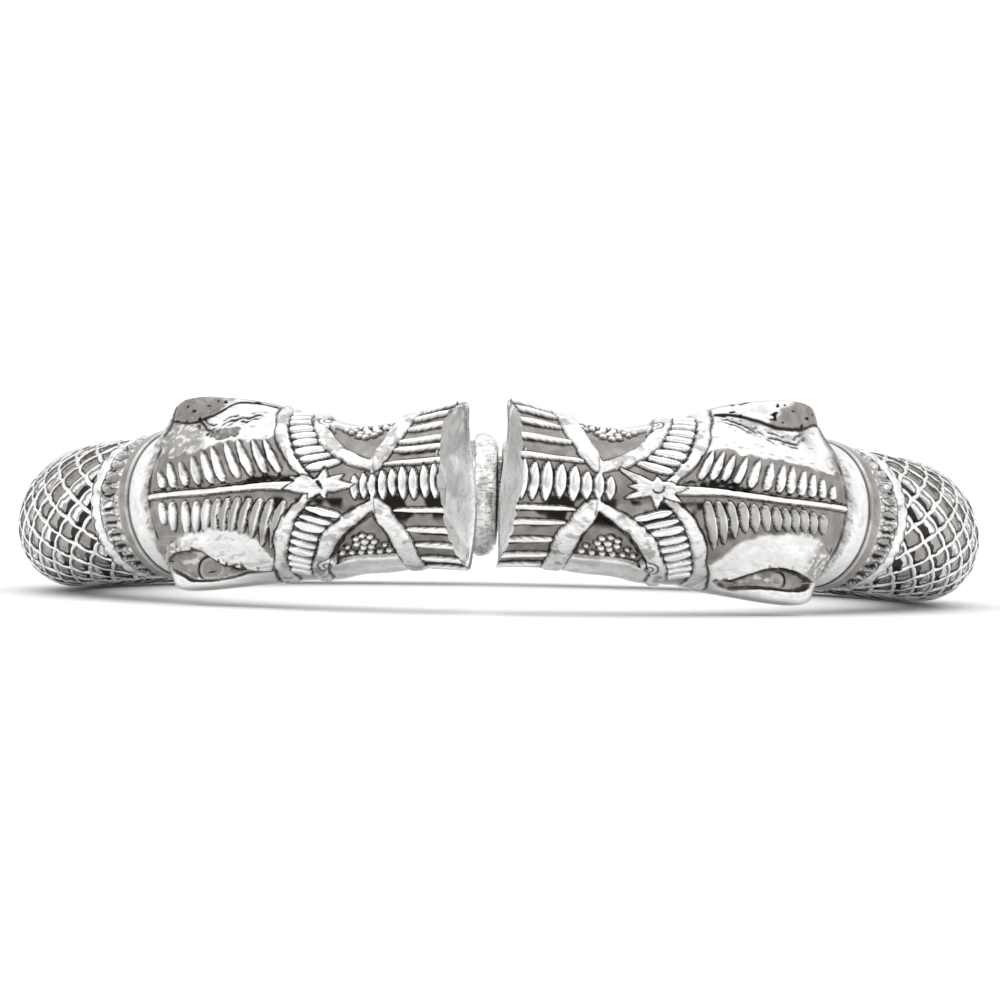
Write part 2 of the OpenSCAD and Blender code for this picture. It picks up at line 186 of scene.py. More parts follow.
# Its petals: angle from the muzzle's direction, reach and half width
PETALS = {LEFT: ((166, 2.3, 0.42), (191, 2.6, 0.5), (77, 1.45, 0.42), (28, 1.9, 0.32), (358, 2.6, 0.5),
                 (286, 1.2, 0.3), (235, 1.3, 0.42)),
          RIGHT: ((30, 3.1, 0.42), (3, 2.0, 0.5), (88, 1.1, 0.42), (180, 2.0, 0.42), (212, 2.0, 0.32),
                  (267, 1.65, 0.38), (337, 2.4, 0.42))}
# Curl at the foot of the near leg: station, distance, radius
CURL = (17.7, 6.9, 0.62)

# Ears, as (station, angle): where the flank starts, the dome's lower edge, the crease and the cup's two edges
FLANK = {(LEFT, 1): ((4, 29), (6.3, 27), (7.9, 30), (9, 33), (12.2, 33.5), (14, 39)),
         (RIGHT, 1): ((4, 23), (6, 24), (8.3, 27), (10, 26), (12, 29), (13.5, 33), (14.5, 31)),
         (LEFT, -1): ((3.5, 50), (4.4, 42), (5.2, 37.5), (6.5, 34), (8.1, 31.5), (9.7, 30.5), (11.2, 32),
                      (12.5, 37), (13.3, 47), (13.5, 57)),
         (RIGHT, -1): ((3.6, 44), (4.2, 37.5), (5.3, 30.5), (7.3, 27.5), (9.1, 27.5), (10.7, 31), (12, 37.5),
                       (13, 47.5), (13.4, 57))}
DOME_EDGE = {LEFT: ((2.6, 66), (3.8, 60.5), (5.5, 56), (6.7, 59), (8.4, 67), (9.2, 74.5), (10, 80), (13, 84)),
             RIGHT: ((4, 66.5), (4.8, 62.5), (6.2, 56), (8, 56), (9.8, 62), (11.1, 67), (12.6, 74),
                     (13.2, 78))}
CREASE = {LEFT: ((4.6, 58), (6.3, 56), (7, 53), (8.1, 50), (9.1, 55), (9.9, 58), (10.8, 59.5), (11.6, 63),
                 (12.6, 69)),
          RIGHT: ((4.6, 52), (7.2, 45), (9, 47), (10.7, 56), (12.4, 67), (13.2, 72))}
DOME_END = {LEFT: 7.9, RIGHT: 7.6}
CUP_TOP = {LEFT: ((3.3, 56), (4.2, 50), (4.9, 47), (6.5, 45.5), (7.5, 46.5), (8.1, 52.5), (9.4, 61.5),
                  (10.5, 65), (12.3, 69), (13.2, 69)),
           RIGHT: ((4.65, 63.5), (5, 60), (5.95, 55.5), (7, 53), (7.95, 52.5), (9.2, 55), (10, 59),
                   (10.6, 62), (11.6, 68), (12.7, 71))}
CUP_LOW = {LEFT: ((3.3, 56.5), (3.6, 61), (5.3, 70.5), (6, 75.5), (7, 77), (8, 78), (9.7, 76), (11.2, 71.5),
                  (13.2, 69.3)),
           RIGHT: ((4.65, 64), (5, 68), (5.65, 71), (6.9, 72), (8.55, 72.5), (10.35, 76.5), (11.3, 80),
                   (12, 78.5), (12.7, 72))}
# Upper ears: painted shadow below the dome, strength of the painted shade in the crease's scratches, width of
# the dome's dark line of painted shade, lean of its end
UPPER_EAR = {LEFT: (0.0, 1.0, 0.14, -0.05), RIGHT: (0.75, 0.8, 0.19, 0.05)}
# Lower ears: hair on the flank, how far nicks reach, darkness of the painted shade in the cup's corner, depth
# of the cup
LOWER_EAR = {LEFT: (0.7, 1.0, 0.4, 0.45), RIGHT: (0.35, 0.45, 0.8, 0.6)}
# A round painted gleam in a cup, and its rim dark with painted shade on one side: station, angle, radius
CUP_EYE = {LEFT: (7.75, 64, 1.3), RIGHT: (7.7, 63, 0.75)}
# A dark mark in a cup: station, angle, half length and half height
CUP_MARK = {LEFT: (7.75, 66.5, 0.5, 0.13), RIGHT: (11.3, 72.8, 0.6, 0.18)}
# A grey patch on the left upper ear: station, angle, half length and half height in degrees
PATCH = (9.6, 43.5, 1.4, 5.5)
EAR_MM = 0.12

# Beads in a window: (station, distance, radius)
GRANULES = tuple([(21.0, 5.3, 0.34)]
                 + [(21.0 + 0.72 * math.cos(t), 5.3 + 0.72 * math.sin(t), 0.29)
                    for t in np.radians(np.arange(10, 370, 51.4))]
                 + [(18.9 + 0.72 * i, 6.5 + 0.05 * i, 0.27) for i in range(6)]
                 + [(19.5, 5.8, 0.23), (22.4, 5.95, 0.22)])
UPPER_BEADS_SHIFT = 1.4
# Where the brim of the upper and the lower window lies
UPPER_BRIM, LOWER_BRIM = 8.2, 7.25

# Stands for a place that lies in no piece
OUTSIDE = -9.0
LATTICE_SIZE = 97
LATTICE = np.random.default_rng(7).uniform(-1, 1, (LATTICE_SIZE, LATTICE_SIZE))


def rad(a):
    return np.asarray(a, float) * math.pi / 180


def ease(a, b, x):
    """A smooth step from 0 at a to 1 at b."""
    t = np.clip((np.asarray(x, float) - a) / (b - a), 0, 1)
    return t * t * (3 - 2 * t)


def bell(x, half):
    return np.exp(-(x / half) ** 2)


def crisp(dark):
    """Turns half-dark places black, so that the painted shade in a hollow has a hard edge."""
    return ease(0.1, 0.75, dark)


def smooth(rows, x):
    """A smooth curve through the rows that doesn't swing past them."""
    k, v = np.asarray(rows, float).T
    h = np.diff(k)
    d = np.diff(v) / h
    m = np.zeros_like(v)
    same = d[:-1] * d[1:] > 0
    w1, w2 = 2 * h[1:] + h[:-1], h[1:] + 2 * h[:-1]
    safe0, safe1 = np.where(same, d[:-1], 1), np.where(same, d[1:], 1)
    m[1:-1] = np.where(same, (w1 + w2) / (w1 / safe0 + w2 / safe1), 0)
    m[0], m[-1] = d[0], d[-1]
    x = np.clip(np.asarray(x, float), k[0], k[-1])
    i = np.clip(np.searchsorted(k, x, side="right") - 1, 0, len(h) - 1)
    t = (x - k[i]) / h[i]
    return ((1 + 2 * t) * (1 - t) ** 2 * v[i] + t * (1 - t) ** 2 * h[i] * m[i]
            + t * t * (3 - 2 * t) * v[i + 1] + t * t * (t - 1) * h[i] * m[i + 1])


def place(side, centre, radius, a, n, z):
    """A point n outside and z above an arc at angle a, leaned outwards and climbing to the front."""
    x = centre[0] + radius * np.sin(a) + np.sin(a) * n - RING_R
    y = centre[1] - radius * np.cos(a) - np.cos(a) * n
    lean, climb = math.radians(ARM_LEAN), math.radians(ARM_CLIMB)
    x2 = x * math.cos(lean) + z * math.sin(lean)
    z2 = z * math.cos(lean) - x * math.sin(lean)
    return np.stack([side * (RING_R + x2), y * math.cos(climb) + z2 * math.sin(climb) + OUTLINE_Y,
                     AXIS_Z + z2 * math.cos(climb) - y * math.sin(climb)], axis=-1)


def tube_point(side, a, b):
    skew = TUBE_SKEW / TUBE_R * ease(*SKEW_IN, a) * (1 - ease(*SKEW_OUT, a))
    n, z = TUBE_R * np.cos(rad(b)), TUBE_R * np.sin(rad(b))
    return place(side, (0, 0), RING_R, rad(a), n, z - skew * n)


def head_point(side, s, n, z):
    a = rad(COLLAR_ANGLE) - s / STATIONS * HEAD_L[side] / BEND_R
    roll = rad(HEAD_ROLL) * ease(0, ROLL_L, s)
    n2 = n * np.cos(roll) - z * np.sin(roll)
    z2 = n * np.sin(roll) + z * np.cos(roll) + smooth(HEAD_LIFT, s)
    return place(side, HEAD_CENTRE, BEND_R, a, n2, z2)


def ear_fill(s, lower, side):
    start, end = EAR_SPAN[side]
    start = start + np.where(lower, LOWER_EAR_SHIFT, 0.0)
    u = np.clip((s - start) / (end - start), 0, 1)
    return np.sqrt(np.sin(np.pi * u ** EAR_SKEW).clip(0))


def flute_teeth(side, a):
    """1 where a flute meets the muzzle's rim and 0 between flutes."""
    w = rad(a) * GIRTH_R - MIDLINE[-1][1]
    return np.max([bell(w - f, 0.3) for f in FLUTES[side]], axis=0)


def corner_at(a):
    """1 at the top and bottom corner of the muzzle and 0 beside them."""
    return np.abs(np.sin(rad(a))) ** 6


def flare_at(s):
    return np.maximum(0, s - CORNER_START) / (STATIONS - CORNER_START)


def rim_reach(side, a):
    """How far the muzzle's rim reaches out at its corners, and at its near and far sides."""
    across = np.cos(rad(a))
    corners = (CORNER_OUT + TOP_CORNER_OUT[side] * (np.asarray(a) > 0)) * corner_at(a)
    return corners, NEAR_RIM_OUT[side] * across.clip(0) ** 0.6 + FAR_RIM_OUT[side] * (-across).clip(0)


def head_base(side, s, a):
    """The head's plain skin with its ears, at station s and angle a in degrees."""
    r = smooth(HEAD_R, s) + flare_at(s) * corner_at(a) * CORNER_R
    n, z = r * np.cos(rad(a)), r * np.sin(rad(a))
    b = np.abs(a)
    first, last = EAR_N[0][0], EAR_N[-1][0]
    e = np.where((b >= first) & (b <= last), ear_fill(s, a < 0, side), 0) * ease(first, first + EAR_RISE, b)
    tall = smooth(EAR_Z, b)
    stretch = (EAR_H[side] - EAR_LIP) / (EAR_TABLE_H - EAR_LIP)
    tall = np.where(tall <= EAR_LIP, tall, EAR_LIP + (tall - EAR_LIP) * stretch)
    n = n + (smooth(EAR_N, b) - n) * e
    z = z + (np.sign(a) * tall - z) * e
    corners, sides = rim_reach(side, a)
    out = flare_at(s) * corners + sides * ease(RIM_START, STATIONS, s)
    out = out + TEETH_OUT * flute_teeth(side, a) * ease(TEETH_START, STATIONS, s)
    return head_point(side, s + out, n, z)


def push(points, height):
    """Moves a grid of points out along its normals. Rows run along, columns round and back to the start."""
    along = np.gradient(points, axis=0)
    wide = np.concatenate([points[:, -2:-1], points, points[:, 1:2]], axis=1)
    n = np.cross(along, wide[:, 2:] - wide[:, :-2])
    n /= np.maximum(np.linalg.norm(n, axis=-1, keepdims=True), 1e-12)
    middle = points.mean(axis=1, keepdims=True)
    if (n * (points - middle)).sum() < 0:
        n = -n
    return points + n * height[..., None]


def plateau(e, edge):
    """Quarter-round rise from 0 at the outline to 1 at this distance inside it."""
    return np.sqrt(1 - (1 - np.clip(e / edge, 0, 1)) ** 2)


def leaf(x, y, foot, tip, half, skew=0.6, point=0.6):
    """Distance inside a spindle from foot to tip, and the signed distance from its middle line."""
    d = np.array(tip, float) - np.array(foot, float)
    length = np.hypot(*d)
    d /= length
    px, py = x - foot[0], y - foot[1]
    t = (px * d[0] + py * d[1]) / length
    off = py * d[0] - px * d[1]
    wide = half * np.sin(np.pi * np.clip(t, 0, 1) ** skew).clip(0) ** point
    out = np.maximum(-t, t - 1).clip(0) * length
    return np.where(out > 0, -np.hypot(out, off), wide - np.abs(off)), off


def between(s, w, lower_edge, upper_edge, k):
    """Distance inside the strip between two edge curves, given by distance round the head."""
    out = []
    for rows, sign in ((lower_edge, 1), (upper_edge, -1)):
        v = smooth(rows, w)
        slope = (smooth(rows, w + 0.05) - smooth(rows, w - 0.05)) / 0.1 * k
        out.append(sign * (s - v) * k / np.sqrt(1 + slope ** 2))
    return np.minimum(*out)


def only(here, e):
    """Keeps the distance inside a piece where this holds, and no piece elsewhere."""
    return np.where(here, e, OUTSIDE)


def wave(x, y, seed):
    """A smooth random value from about -1 to 1, with features about as large as 1."""
    total = 0
    for octave, (scale, gain) in enumerate(((0.9, 1.0), (2.1, 0.5))):
        u = np.asarray(x, float) * scale + 11.3 * seed + 31 * octave
        v = np.asarray(y, float) * scale + 5.7 * seed + 17 * octave
        i, j = np.floor(u).astype(int), np.floor(v).astype(int)
        fu, fv = ease(0, 1, u - i), ease(0, 1, v - j)
        i0, i1, j0, j1 = (k % LATTICE_SIZE for k in (i, i + 1, j, j + 1))
        low, high = (LATTICE[i0, row] * (1 - fu) + LATTICE[i1, row] * fu for row in (j0, j1))
        total = total + gain * (low * (1 - fv) + high * fv)
    return total


class Cast:
    """Height and masks of a cast skin, laid down one raised piece after another on a grey ground. Its grey
    ground is painted reflection, and its dark mask mostly painted shade.
    """

    def __init__(self, ground):
        self.lift = np.zeros_like(ground)
        self.grey = ground.copy()
        self.dark = np.zeros_like(ground)
        self.matte = np.zeros_like(ground)

    def lay(self, e, rise, tint=0.0, line_shade=0.85, matte=0.0):
        """Lays a piece with this distance inside its outline, with a dark line of painted shade round its
        foot.
        """
        body = ease(-0.02, 0.05, e)
        self.mark(line_shade * bell(e + 0.06, 0.078))
        self.cover(body, tint, 0.0, matte)
        self.lift = np.maximum(self.lift, plateau(e, rise))

    def mark(self, dark):
        """Darkens the skin by this mask."""
        self.dark = np.maximum(self.dark, dark)

    def cover(self, mask, grey, dark, matte):
        """Paints over all masks where this mask is 1."""
        self.grey = self.grey * (1 - mask) + grey * mask
        self.dark = self.dark * (1 - mask) + dark * mask
        self.matte = self.matte * (1 - mask) + matte * mask


def lay_field(cast, side, s, x, w, k, mid):
    """Strokes, then the ridge and its groove, of the field between the ears."""
    rag = 0.04 * wave(x * 2.2, w * 2.2, 5 + side)
    line_shade = np.clip(0.95 + 0.5 * wave(x * 1.4, w * 1.9, side), 0.45, 1)
    # Painted shade darkens the ground between the lower strokes, most towards the flower
    low = ease(-0.6, -1.0, w) * ease(-4.4, -3.2, w) * ease(3.6, 14, s)
    cast.mark(0.7 * low * ease(-0.1, 0.5, wave(x * 1.0, w * 0.5, 73)))
    for foot, foot_w, tip, tip_w in UPPER_STROKES[side]:
        e, off = leaf(x, w, (foot * k, foot_w), (tip * k, tip_w), 0.33)
        # Painted shade: here and there one side of an upper stroke is grey
        shaded_side = 0.6 * ease(0.1, 0.4, wave(x * 1.9, w * 1.5, 80 + side)) * ease(-0.02, 0.06, off * side)
        cast.lay(e + rag, 0.2, tint=shaded_side, line_shade=line_shade)
    for foot, foot_w, tip, tip_w in LOWER_STROKES[side]:
        e, off = leaf(x, w, (foot * k, foot_w), (tip * k, tip_w), 0.38, 0.75)
        full = ease(8, 11, foot) if side == LEFT else 0.8
        # Painted shade: the lower strokes are grey along one side and in their inner part
        hollow_shade = 0.85 * full * ease(0.09, 0.15, e) * ease(-0.2, -0.1, off * side)
        cast.lay(e + rag, 0.24, tint=np.maximum(hollow_shade, 0.62 * ease(0.02, 0.08, off * side)), line_shade=line_shade)
    strip = (s > RIDGE_SPAN[0]) & (s < RIDGE_SPAN[1])
    # A rough groove, black with painted shade, runs along the ridge's upper side and widens to the flower
    deep = 0.09 + 0.17 * ease(11.3, 14, s) + 0.06 * wave(x * 3.3, w * 0.4, 2)
    groove = ease(0.05, -0.05, np.abs(w - mid - 0.3 - deep) - deep)
    groove = np.where(strip & (s < GROOVE_END), groove, 0)
    groove_shade = np.clip(0.75 + 0.45 * wave(x * 3.1, w * 5.3, 3), 0.15, 1)
    cast.cover(groove, 1, groove_shade * (0.62 + 0.38 * ease(11, 13, s)), cast.matte)
    ridge = 0.24 - np.abs(w - mid) + 0.14 * ease(13, 17, s) + 0.02 * wave(x * 2.1, w, 6)
    cast.lay(only(strip, ridge), 0.2, line_shade=0.7)
    return groove


def lay_bands(cast, side, s, x, w, u, k, mid):
    """Bars, flutes, ladder, the bands and the flower."""
    zone = between(s, u, BAND_INNER, NEAR_OUTER, k)
    fan = u - 0.4 * (s - 17.4) * k
    here = (u > 0.9) & (s > 13) & (s < 22.5)
    for i, b in enumerate(BARS):
        half = (0.34 + 0.05 * math.sin(i * 4.1)) * plateau(zone + 0.02, 0.95) + 0.04 * wave(x * 2, w * 2, i)
        e = np.minimum(half - np.abs(fan - b - 0.05 * math.sin(i * 2.4)) * 0.93, zone + 0.02)
        cast.lay(only(here, e), 0.2, line_shade=0.95)
    run = between(s, u, FAR_FAR, MUZZLE_EDGE, k)
    for flute in FLUTES[side]:
        sign, f = math.copysign(1, flute), abs(flute)
        line = (w - mid) * sign - f
        half = 0.23 * plateau(run, 1.2) + 0.03 * wave(x * 1.2, w * 0.3, f)
        e = np.minimum(half - np.abs(line), run - 0.05)
        cast.lay(only(s > 22.6, e), 0.22, line_shade=0.9)
        shade = bell(line + 0.42 * sign, 0.14) * ease(0.2, 0.9, run)
        shade = shade * np.clip(0.3 + wave(x * 0.9, f * 2.0, 4), 0, 0.8)
        cast.mark(shade * (cast.lift < 0.2))
    short, long = RUNG_H[side]
    for i, r in enumerate(RUNGS[side]):
        m = smooth(MIDLINE, r) + 0.08 * math.sin(i * 1.9)
        h = short + (long - short) * ease(21, 25.5, r) + 0.1 * math.sin(i * 2.7)
        e, _ = leaf(x, w, (r * k, m - h), (r * k, m + h), RUNG_HALF[side], 1.0)
        cast.lay(e, 0.22, line_shade=0.95)
    beaten = 0.06 * wave(x * 1.7, w * 1.9, 8)
    facets = 0.6 * ease(0.2, 0.5, wave(x * 1.5, w * 1.8, 28)) + 0.35 * bell(wave(x * 1.1, w * 1.3, 29), 0.07)
    cast.lay(only(u > 0.35, between(s, u, BAND_OUTER, BAND_INNER, k) + beaten), 0.3, tint=facets, matte=0.6)
    legs = np.maximum(between(s, u, NEAR_OUTER, NEAR_INNER, k), between(s, u, FAR_NEAR, FAR_FAR, k))
    apex = APEX[2] - np.hypot((s - APEX[0]) * k * 0.9, u - APEX[1])
    cast.lay(np.maximum(only(u > 1.0, legs), apex) + beaten, 0.34, tint=facets, matte=0.6)
    # Painted shade: a short dark line across the apex, where the flutes begin
    cast.mark(0.5 * bell((s - 22.6) * k, 0.05) * (apex > -0.2))
    cs, cu, cr = CURL
    spiral = np.hypot((s - cs) * k, u - cu)
    cast.lay(cr - spiral + beaten, 0.3, matte=0.4)
    cast.mark(0.8 * bell(spiral - 0.3, 0.07) * (spiral < cr))
    lay_flower(cast, side, s, x, w, k, beaten, facets)


def lay_flower(cast, side, s, x, w, k, beaten, facets):
    """The star flower as one piece, with painted shade in its heart: a dark nick on the left head, a dark
    crescent on the right.
    """
    fx, fw = FLOWER
    heart = np.hypot((s - fx) * k, w - fw)
    star = 0.72 - heart
    for angle, reach, half in PETALS[side]:
        t = math.radians(angle)
        e, off = leaf(x, w, (fx * k - 0.3 * math.cos(t), fw - 0.3 * math.sin(t)),
                      (fx * k + reach * math.cos(t), fw + reach * math.sin(t)), half, 0.75, 0.9)
        cast.dark = cast.dark * (1 - ease(-0.02, 0.05, e))
        vein = bell(off, 0.05) * (heart > 0.75) * (e > 0.12)
        star = np.maximum(star, e) - 0.1 * vein
    cast.lay(star + beaten, 0.42, tint=0.5 * facets, line_shade=0.9, matte=0.4)
    if side == LEFT:
        nick, _ = leaf(x, w, (fx * k - 0.2, fw + 0.35), (fx * k + 0.25, fw - 0.4), 0.15)
        cast.mark(0.9 * ease(-0.03, 0.04, nick + 0.5 * beaten))
    else:
        lower_shade = ease(0.3, -0.25, w - fw + 0.4 * (s - fx))
        cast.mark(bell(heart - 0.4, 0.09) * lower_shade)
        cast.mark(0.3 * bell(heart - 0.62, 0.05) * (1 - lower_shade))


def lay_windows(cast, s, x, w, u, k):
    """The sunken windows with their brim and beads. Gives how far the ground sinks, and the beads' height."""
    pit = only(u > 2.1, between(s, u, NEAR_INNER, FAR_NEAR, k))
    sink = ease(0, 0.45, pit)
    # Painted shade: a dark line runs inside the window's wall, and another under its brim
    cast.mark(0.8 * bell(pit - 0.12, 0.1) * np.clip(0.6 + wave(x, w, 31), 0.1, 1))
    brim = u + 0.25 * np.cos((s - 20.6) * 0.9) - np.where(w > 0, UPPER_BRIM, LOWER_BRIM)
    lip = ease(0.05, 0.35, brim) * ease(0.05, 0.3, pit)
    cast.mark(bell(brim, 0.1) * sink * 0.85)
    cast.cover(lip, 0.25 * ease(0.1, 0.5, wave(x * 1.2, w, 33)), 0.0, 0.3)
    lower = u - np.where(w > 0, UPPER_BEADS_SHIFT, 0.0)
    beads = np.max([r - np.hypot((s - cs) * k, lower - cu) for cs, cu, r in GRANULES], axis=0)
    body = ease(-0.02, 0.04, beads) * sink
    # Painted shade: a dark ring round each bead's foot
    cast.mark(bell(beads + 0.05, 0.065) * sink)
    cast.dark = cast.dark * (1 - body)
    cast.grey = cast.grey * (1 - body * ease(0.02, 0.12, beads))
    return sink * (1 - 0.85 * lip), plateau(beads, 0.24) * sink


def paint_upper_ear(cast, side, s, a, x, w, on):
    """A polished dome, grey with painted reflection on its collar side, over a ragged crease dark with
    painted shade, with rough and white places below.
    """
    rough = wave(x * 4.2, w * 4.2, 4)
    flank = on * ease(-1.5, 1.5, a - smooth(FLANK[side, 1], s) + 2.5 * wave(x * 1.6, w * 0.8, 41))
    shadowed, line_shade, outline, lean = UPPER_EAR[side]
    gritty, patch = np.zeros_like(s), np.ones_like(s)
    if side == LEFT:
        gritty = 1 - ease(7.0, 8.2, s + 0.7 * wave(x * 0.9, w * 0.9, 9))
        ps, pa, long, high = PATCH
        patch = np.hypot((s - ps) / long, (a - pa) / high) - 1 + 0.2 * wave(x * 1.5, w * 1.5, 42)
    grey = gritty * (0.85 - 0.7 * ease(0.35, 0.6, rough))
    grey = np.maximum(grey, 0.9 * ease(0.1, -0.1, patch))
    hair = ease(0.45, 0.7, wave(x * 1.4 - w * 0.9, w * 3.6 + x, 43)) * (1 - gritty)
    grey = np.maximum(grey, 0.6 * hair)
    below = (smooth(DOME_EDGE[side], s) - a) * EAR_MM
    shadow = ease(2.1, 0.4, below + 0.5 * wave(x * 1.1, w * 0.6, 74)) * ease(4, 6, s) * ease(12.5, 10, s)
    grey = np.maximum(grey, shadowed * shadow * ease(-0.5, 0.2, wave(x * 1.2, w * 2.6, 75)))
    dark = np.maximum(0.9 * bell(patch, 0.14) * np.clip(rough + 0.8, 0, 1),
                      0.42 * ease(0.05, -0.1, patch) * np.clip(0.9 + rough, 0.3, 1))
    # The crease and its two strands are carved as grooves, and their dark is painted shade
    ragged = (a - smooth(CREASE[side], s)) * EAR_MM + 0.2 * wave(x * 1.9, w * 0.5, 2)
    scratch = bell(ragged, 0.16 + 0.1 * np.abs(rough)) * np.clip(1.2 + 1.3 * wave(x * 1.3, w * 1.2, 7), 0, 1)
    # Two broken strands lie beside the crease
    for k, off in enumerate((-0.5, 0.5)):
        strand = bell(ragged + off + 0.15 * wave(x * 2.6, w, 76 + k), 0.13)
        scratch = np.maximum(scratch, strand * ease(-0.1, 0.2, wave(x * 1.5, w * 1.2, 78 + k)))
    scratch = scratch * ease(5.2, 6.2, s) * ease(12.8, 12.2, s)
    cast.cover(flank, grey, np.maximum(dark, scratch * line_shade), 0.8)
    e = (a - smooth(DOME_EDGE[side], s)) * EAR_MM + 0.06 * wave(x * 1.8, w * 0.7, 44)
    # Painted reflection: the dome is grey on its collar side and white beyond
    shine = ease(DOME_END[side], DOME_END[side] + 0.7, s + lean * (a - 66) + 0.6 * wave(x * 0.8, w * 0.9, 1))
    body = ease(-0.03, 0.05, e) * flank
    nick = ease(0.62, 0.8, wave(x * 1.5, w * 1.9, 12))
    cast.cover(body, (1 - shine) + shine * 0.3 * ease(0.3, 0.6, wave(x, w, 45)), 0.75 * nick, 0.0)
    # Painted shade: a dark line runs along the dome's lower edge
    cast.mark(bell(e + 0.03, outline) * flank * np.clip(1.15 + 0.5 * wave(x, w, 6), 0, 1))
    cast.grey = np.maximum(cast.grey, bell(a - 86, 3.5) * flank * 0.7)
    return flank * (-0.2 * (1 - plateau(e, 0.7)) - 0.12 * scratch + 0.04 * rough * gritty)


def paint_lower_ear(cast, side, s, a, x, w, on):
    """A cup dark with painted shade and lit by painted glints, with a bright rim, under a white matte flank.
    """
    b = -a
    rough = wave(x * 4.2, w * 4.2, 14)
    hairy, reach, corner_shade, deep = LOWER_EAR[side]
    top, low = smooth(CUP_TOP[side], s), smooth(CUP_LOW[side], s)
    flank = on * ease(-1.5, 1.5, b - smooth(FLANK[side, -1], s) + 2.0 * wave(x * 1.6, w * 0.8, 51))
    above = 1 - ease(-1, 1, b - top)
    gritty = (1 - ease(5.0, 6.6, s + 0.8 * wave(x * 0.9, w * 0.9, 19))) * above
    hair = ease(0.4, 0.7, wave(x * 1.1 + w * 0.6, w * 3.4 - x, 11)) * above * hairy
    grey = np.maximum(gritty * (0.85 - 0.75 * ease(0.2, 0.45, rough)), 0.6 * hair)
    shade = 0.22 * ease(-2, 6, b - low)
    nick = ease(0.45, 0.7, wave(x * 3.2, w * 2.0, 17)) * above * bell((top - b) * EAR_MM, reach)
    cast.cover(flank, np.maximum(grey, shade), 0.7 * nick, ease(low + 4, low - 6, b) * 0.8)
    e = np.minimum(b - top, low - b) * EAR_MM + 0.06 * wave(x * 1.8, w, 13)
    e = only((s > CUP_TOP[side][0][0]) & (s < CUP_TOP[side][-1][0]), e)
    es, ea, er = CUP_EYE[side]
    eye = np.hypot(s - es, (b - ea) * EAR_MM) - er
    ms, ma, long, high = CUP_MARK[side]
    # Painted shade: the cup is darkened in patches, along one side of its eye and in its corner
    cup = 0.22 * ease(0.0, -0.3, eye) + 0.3 * ease(0.2, 0.6, wave(x * 0.9, w * 1.4, 15))
    cup = np.maximum(cup, 0.95 * bell(eye, 0.12) * ease(0.4, -0.6, (b - ea) * EAR_MM * 0.5 + (s - es) * 0.8))
    cup = np.maximum(cup, 0.8 * bell(np.hypot((s - ms) / long, (b - ma) * EAR_MM / high + 0.5 * rough), 1.0))
    corner = ease(0.3, 0.0, e) * ease(-3, 6, b - 0.5 * (top + low)) * ease(es - 0.5, es - 2.0, s)
    cup = np.maximum(cup, corner_shade * corner)
    glint = 0.25 * bell(eye + 0.3, 0.12) + 0.5 * ease(0.4, 0.7, wave(x * 1.4, w * 2.4, 16))
    cast.cover(ease(-0.03, 0.06, e) * flank, 1 - np.clip(glint, 0, 1) * (1 - ease(0.1, 0.5, cup)), cup, 0.0)
    # Painted shade: a dark line along the cup's edge
    cast.mark(bell(e + 0.02, 0.08) * flank * np.where(b < 0.5 * (top + low), 0.5 + 0.4 * ease(7, 9, s), 0.6))
    return flank * (-deep * plateau(e, 0.9) + 0.04 * rough * gritty)


def paint_collar(cast, s, x, w):
    """A polished grey edge ring, then a brushed white band, with dark lines of painted shade at the ring's
    edges and the band's end. Gives their height.
    """
    ring = ease(-0.12, -0.02, s) * (1 - ease(0.8, 0.86, s))
    tone = ring * ease(0.03, 0.12, s) * (1 - ease(0.84, 0.9, s)) * (0.95 + 0.05 * wave(x, w, 21))
    seam_shade = np.maximum(0.95 * bell(s - 0.94, 0.08), 0.8 * bell(s + 0.02, 0.05))
    cast.cover(s < COLLAR_RING_END, tone, seam_shade, 0.0)
    scratch = ease(0.3, 0.6, wave(x * 3.4 + w * 1.2, w * 6.5, 22) - 0.9 * (2.9 - s))
    # Painted shade: a ragged dark line where the band steps down to the field
    edge = 0.95 * bell(s - 3.38, 0.09) * np.clip(0.7 + 0.5 * wave(x, w * 1.1, 8), 0, 1)
    blotch = 0.3 * ease(0.4, 0.8, wave(x * 1.1, w * 0.8, 24)) + 0.5 * ease(2.3, 3.3, s)
    cast.cover((s >= COLLAR_RING_END) & (s < COLLAR_END), blotch, np.maximum(0.42 * scratch, edge), 0.8)
    rise = 0.28 * ease(-0.12, 0.0, s) * (1 - ease(0.8, 0.9, s))
    return rise + 0.1 * ease(1.4, 3.0, s) * (1 - ease(3.2, 3.4, s))


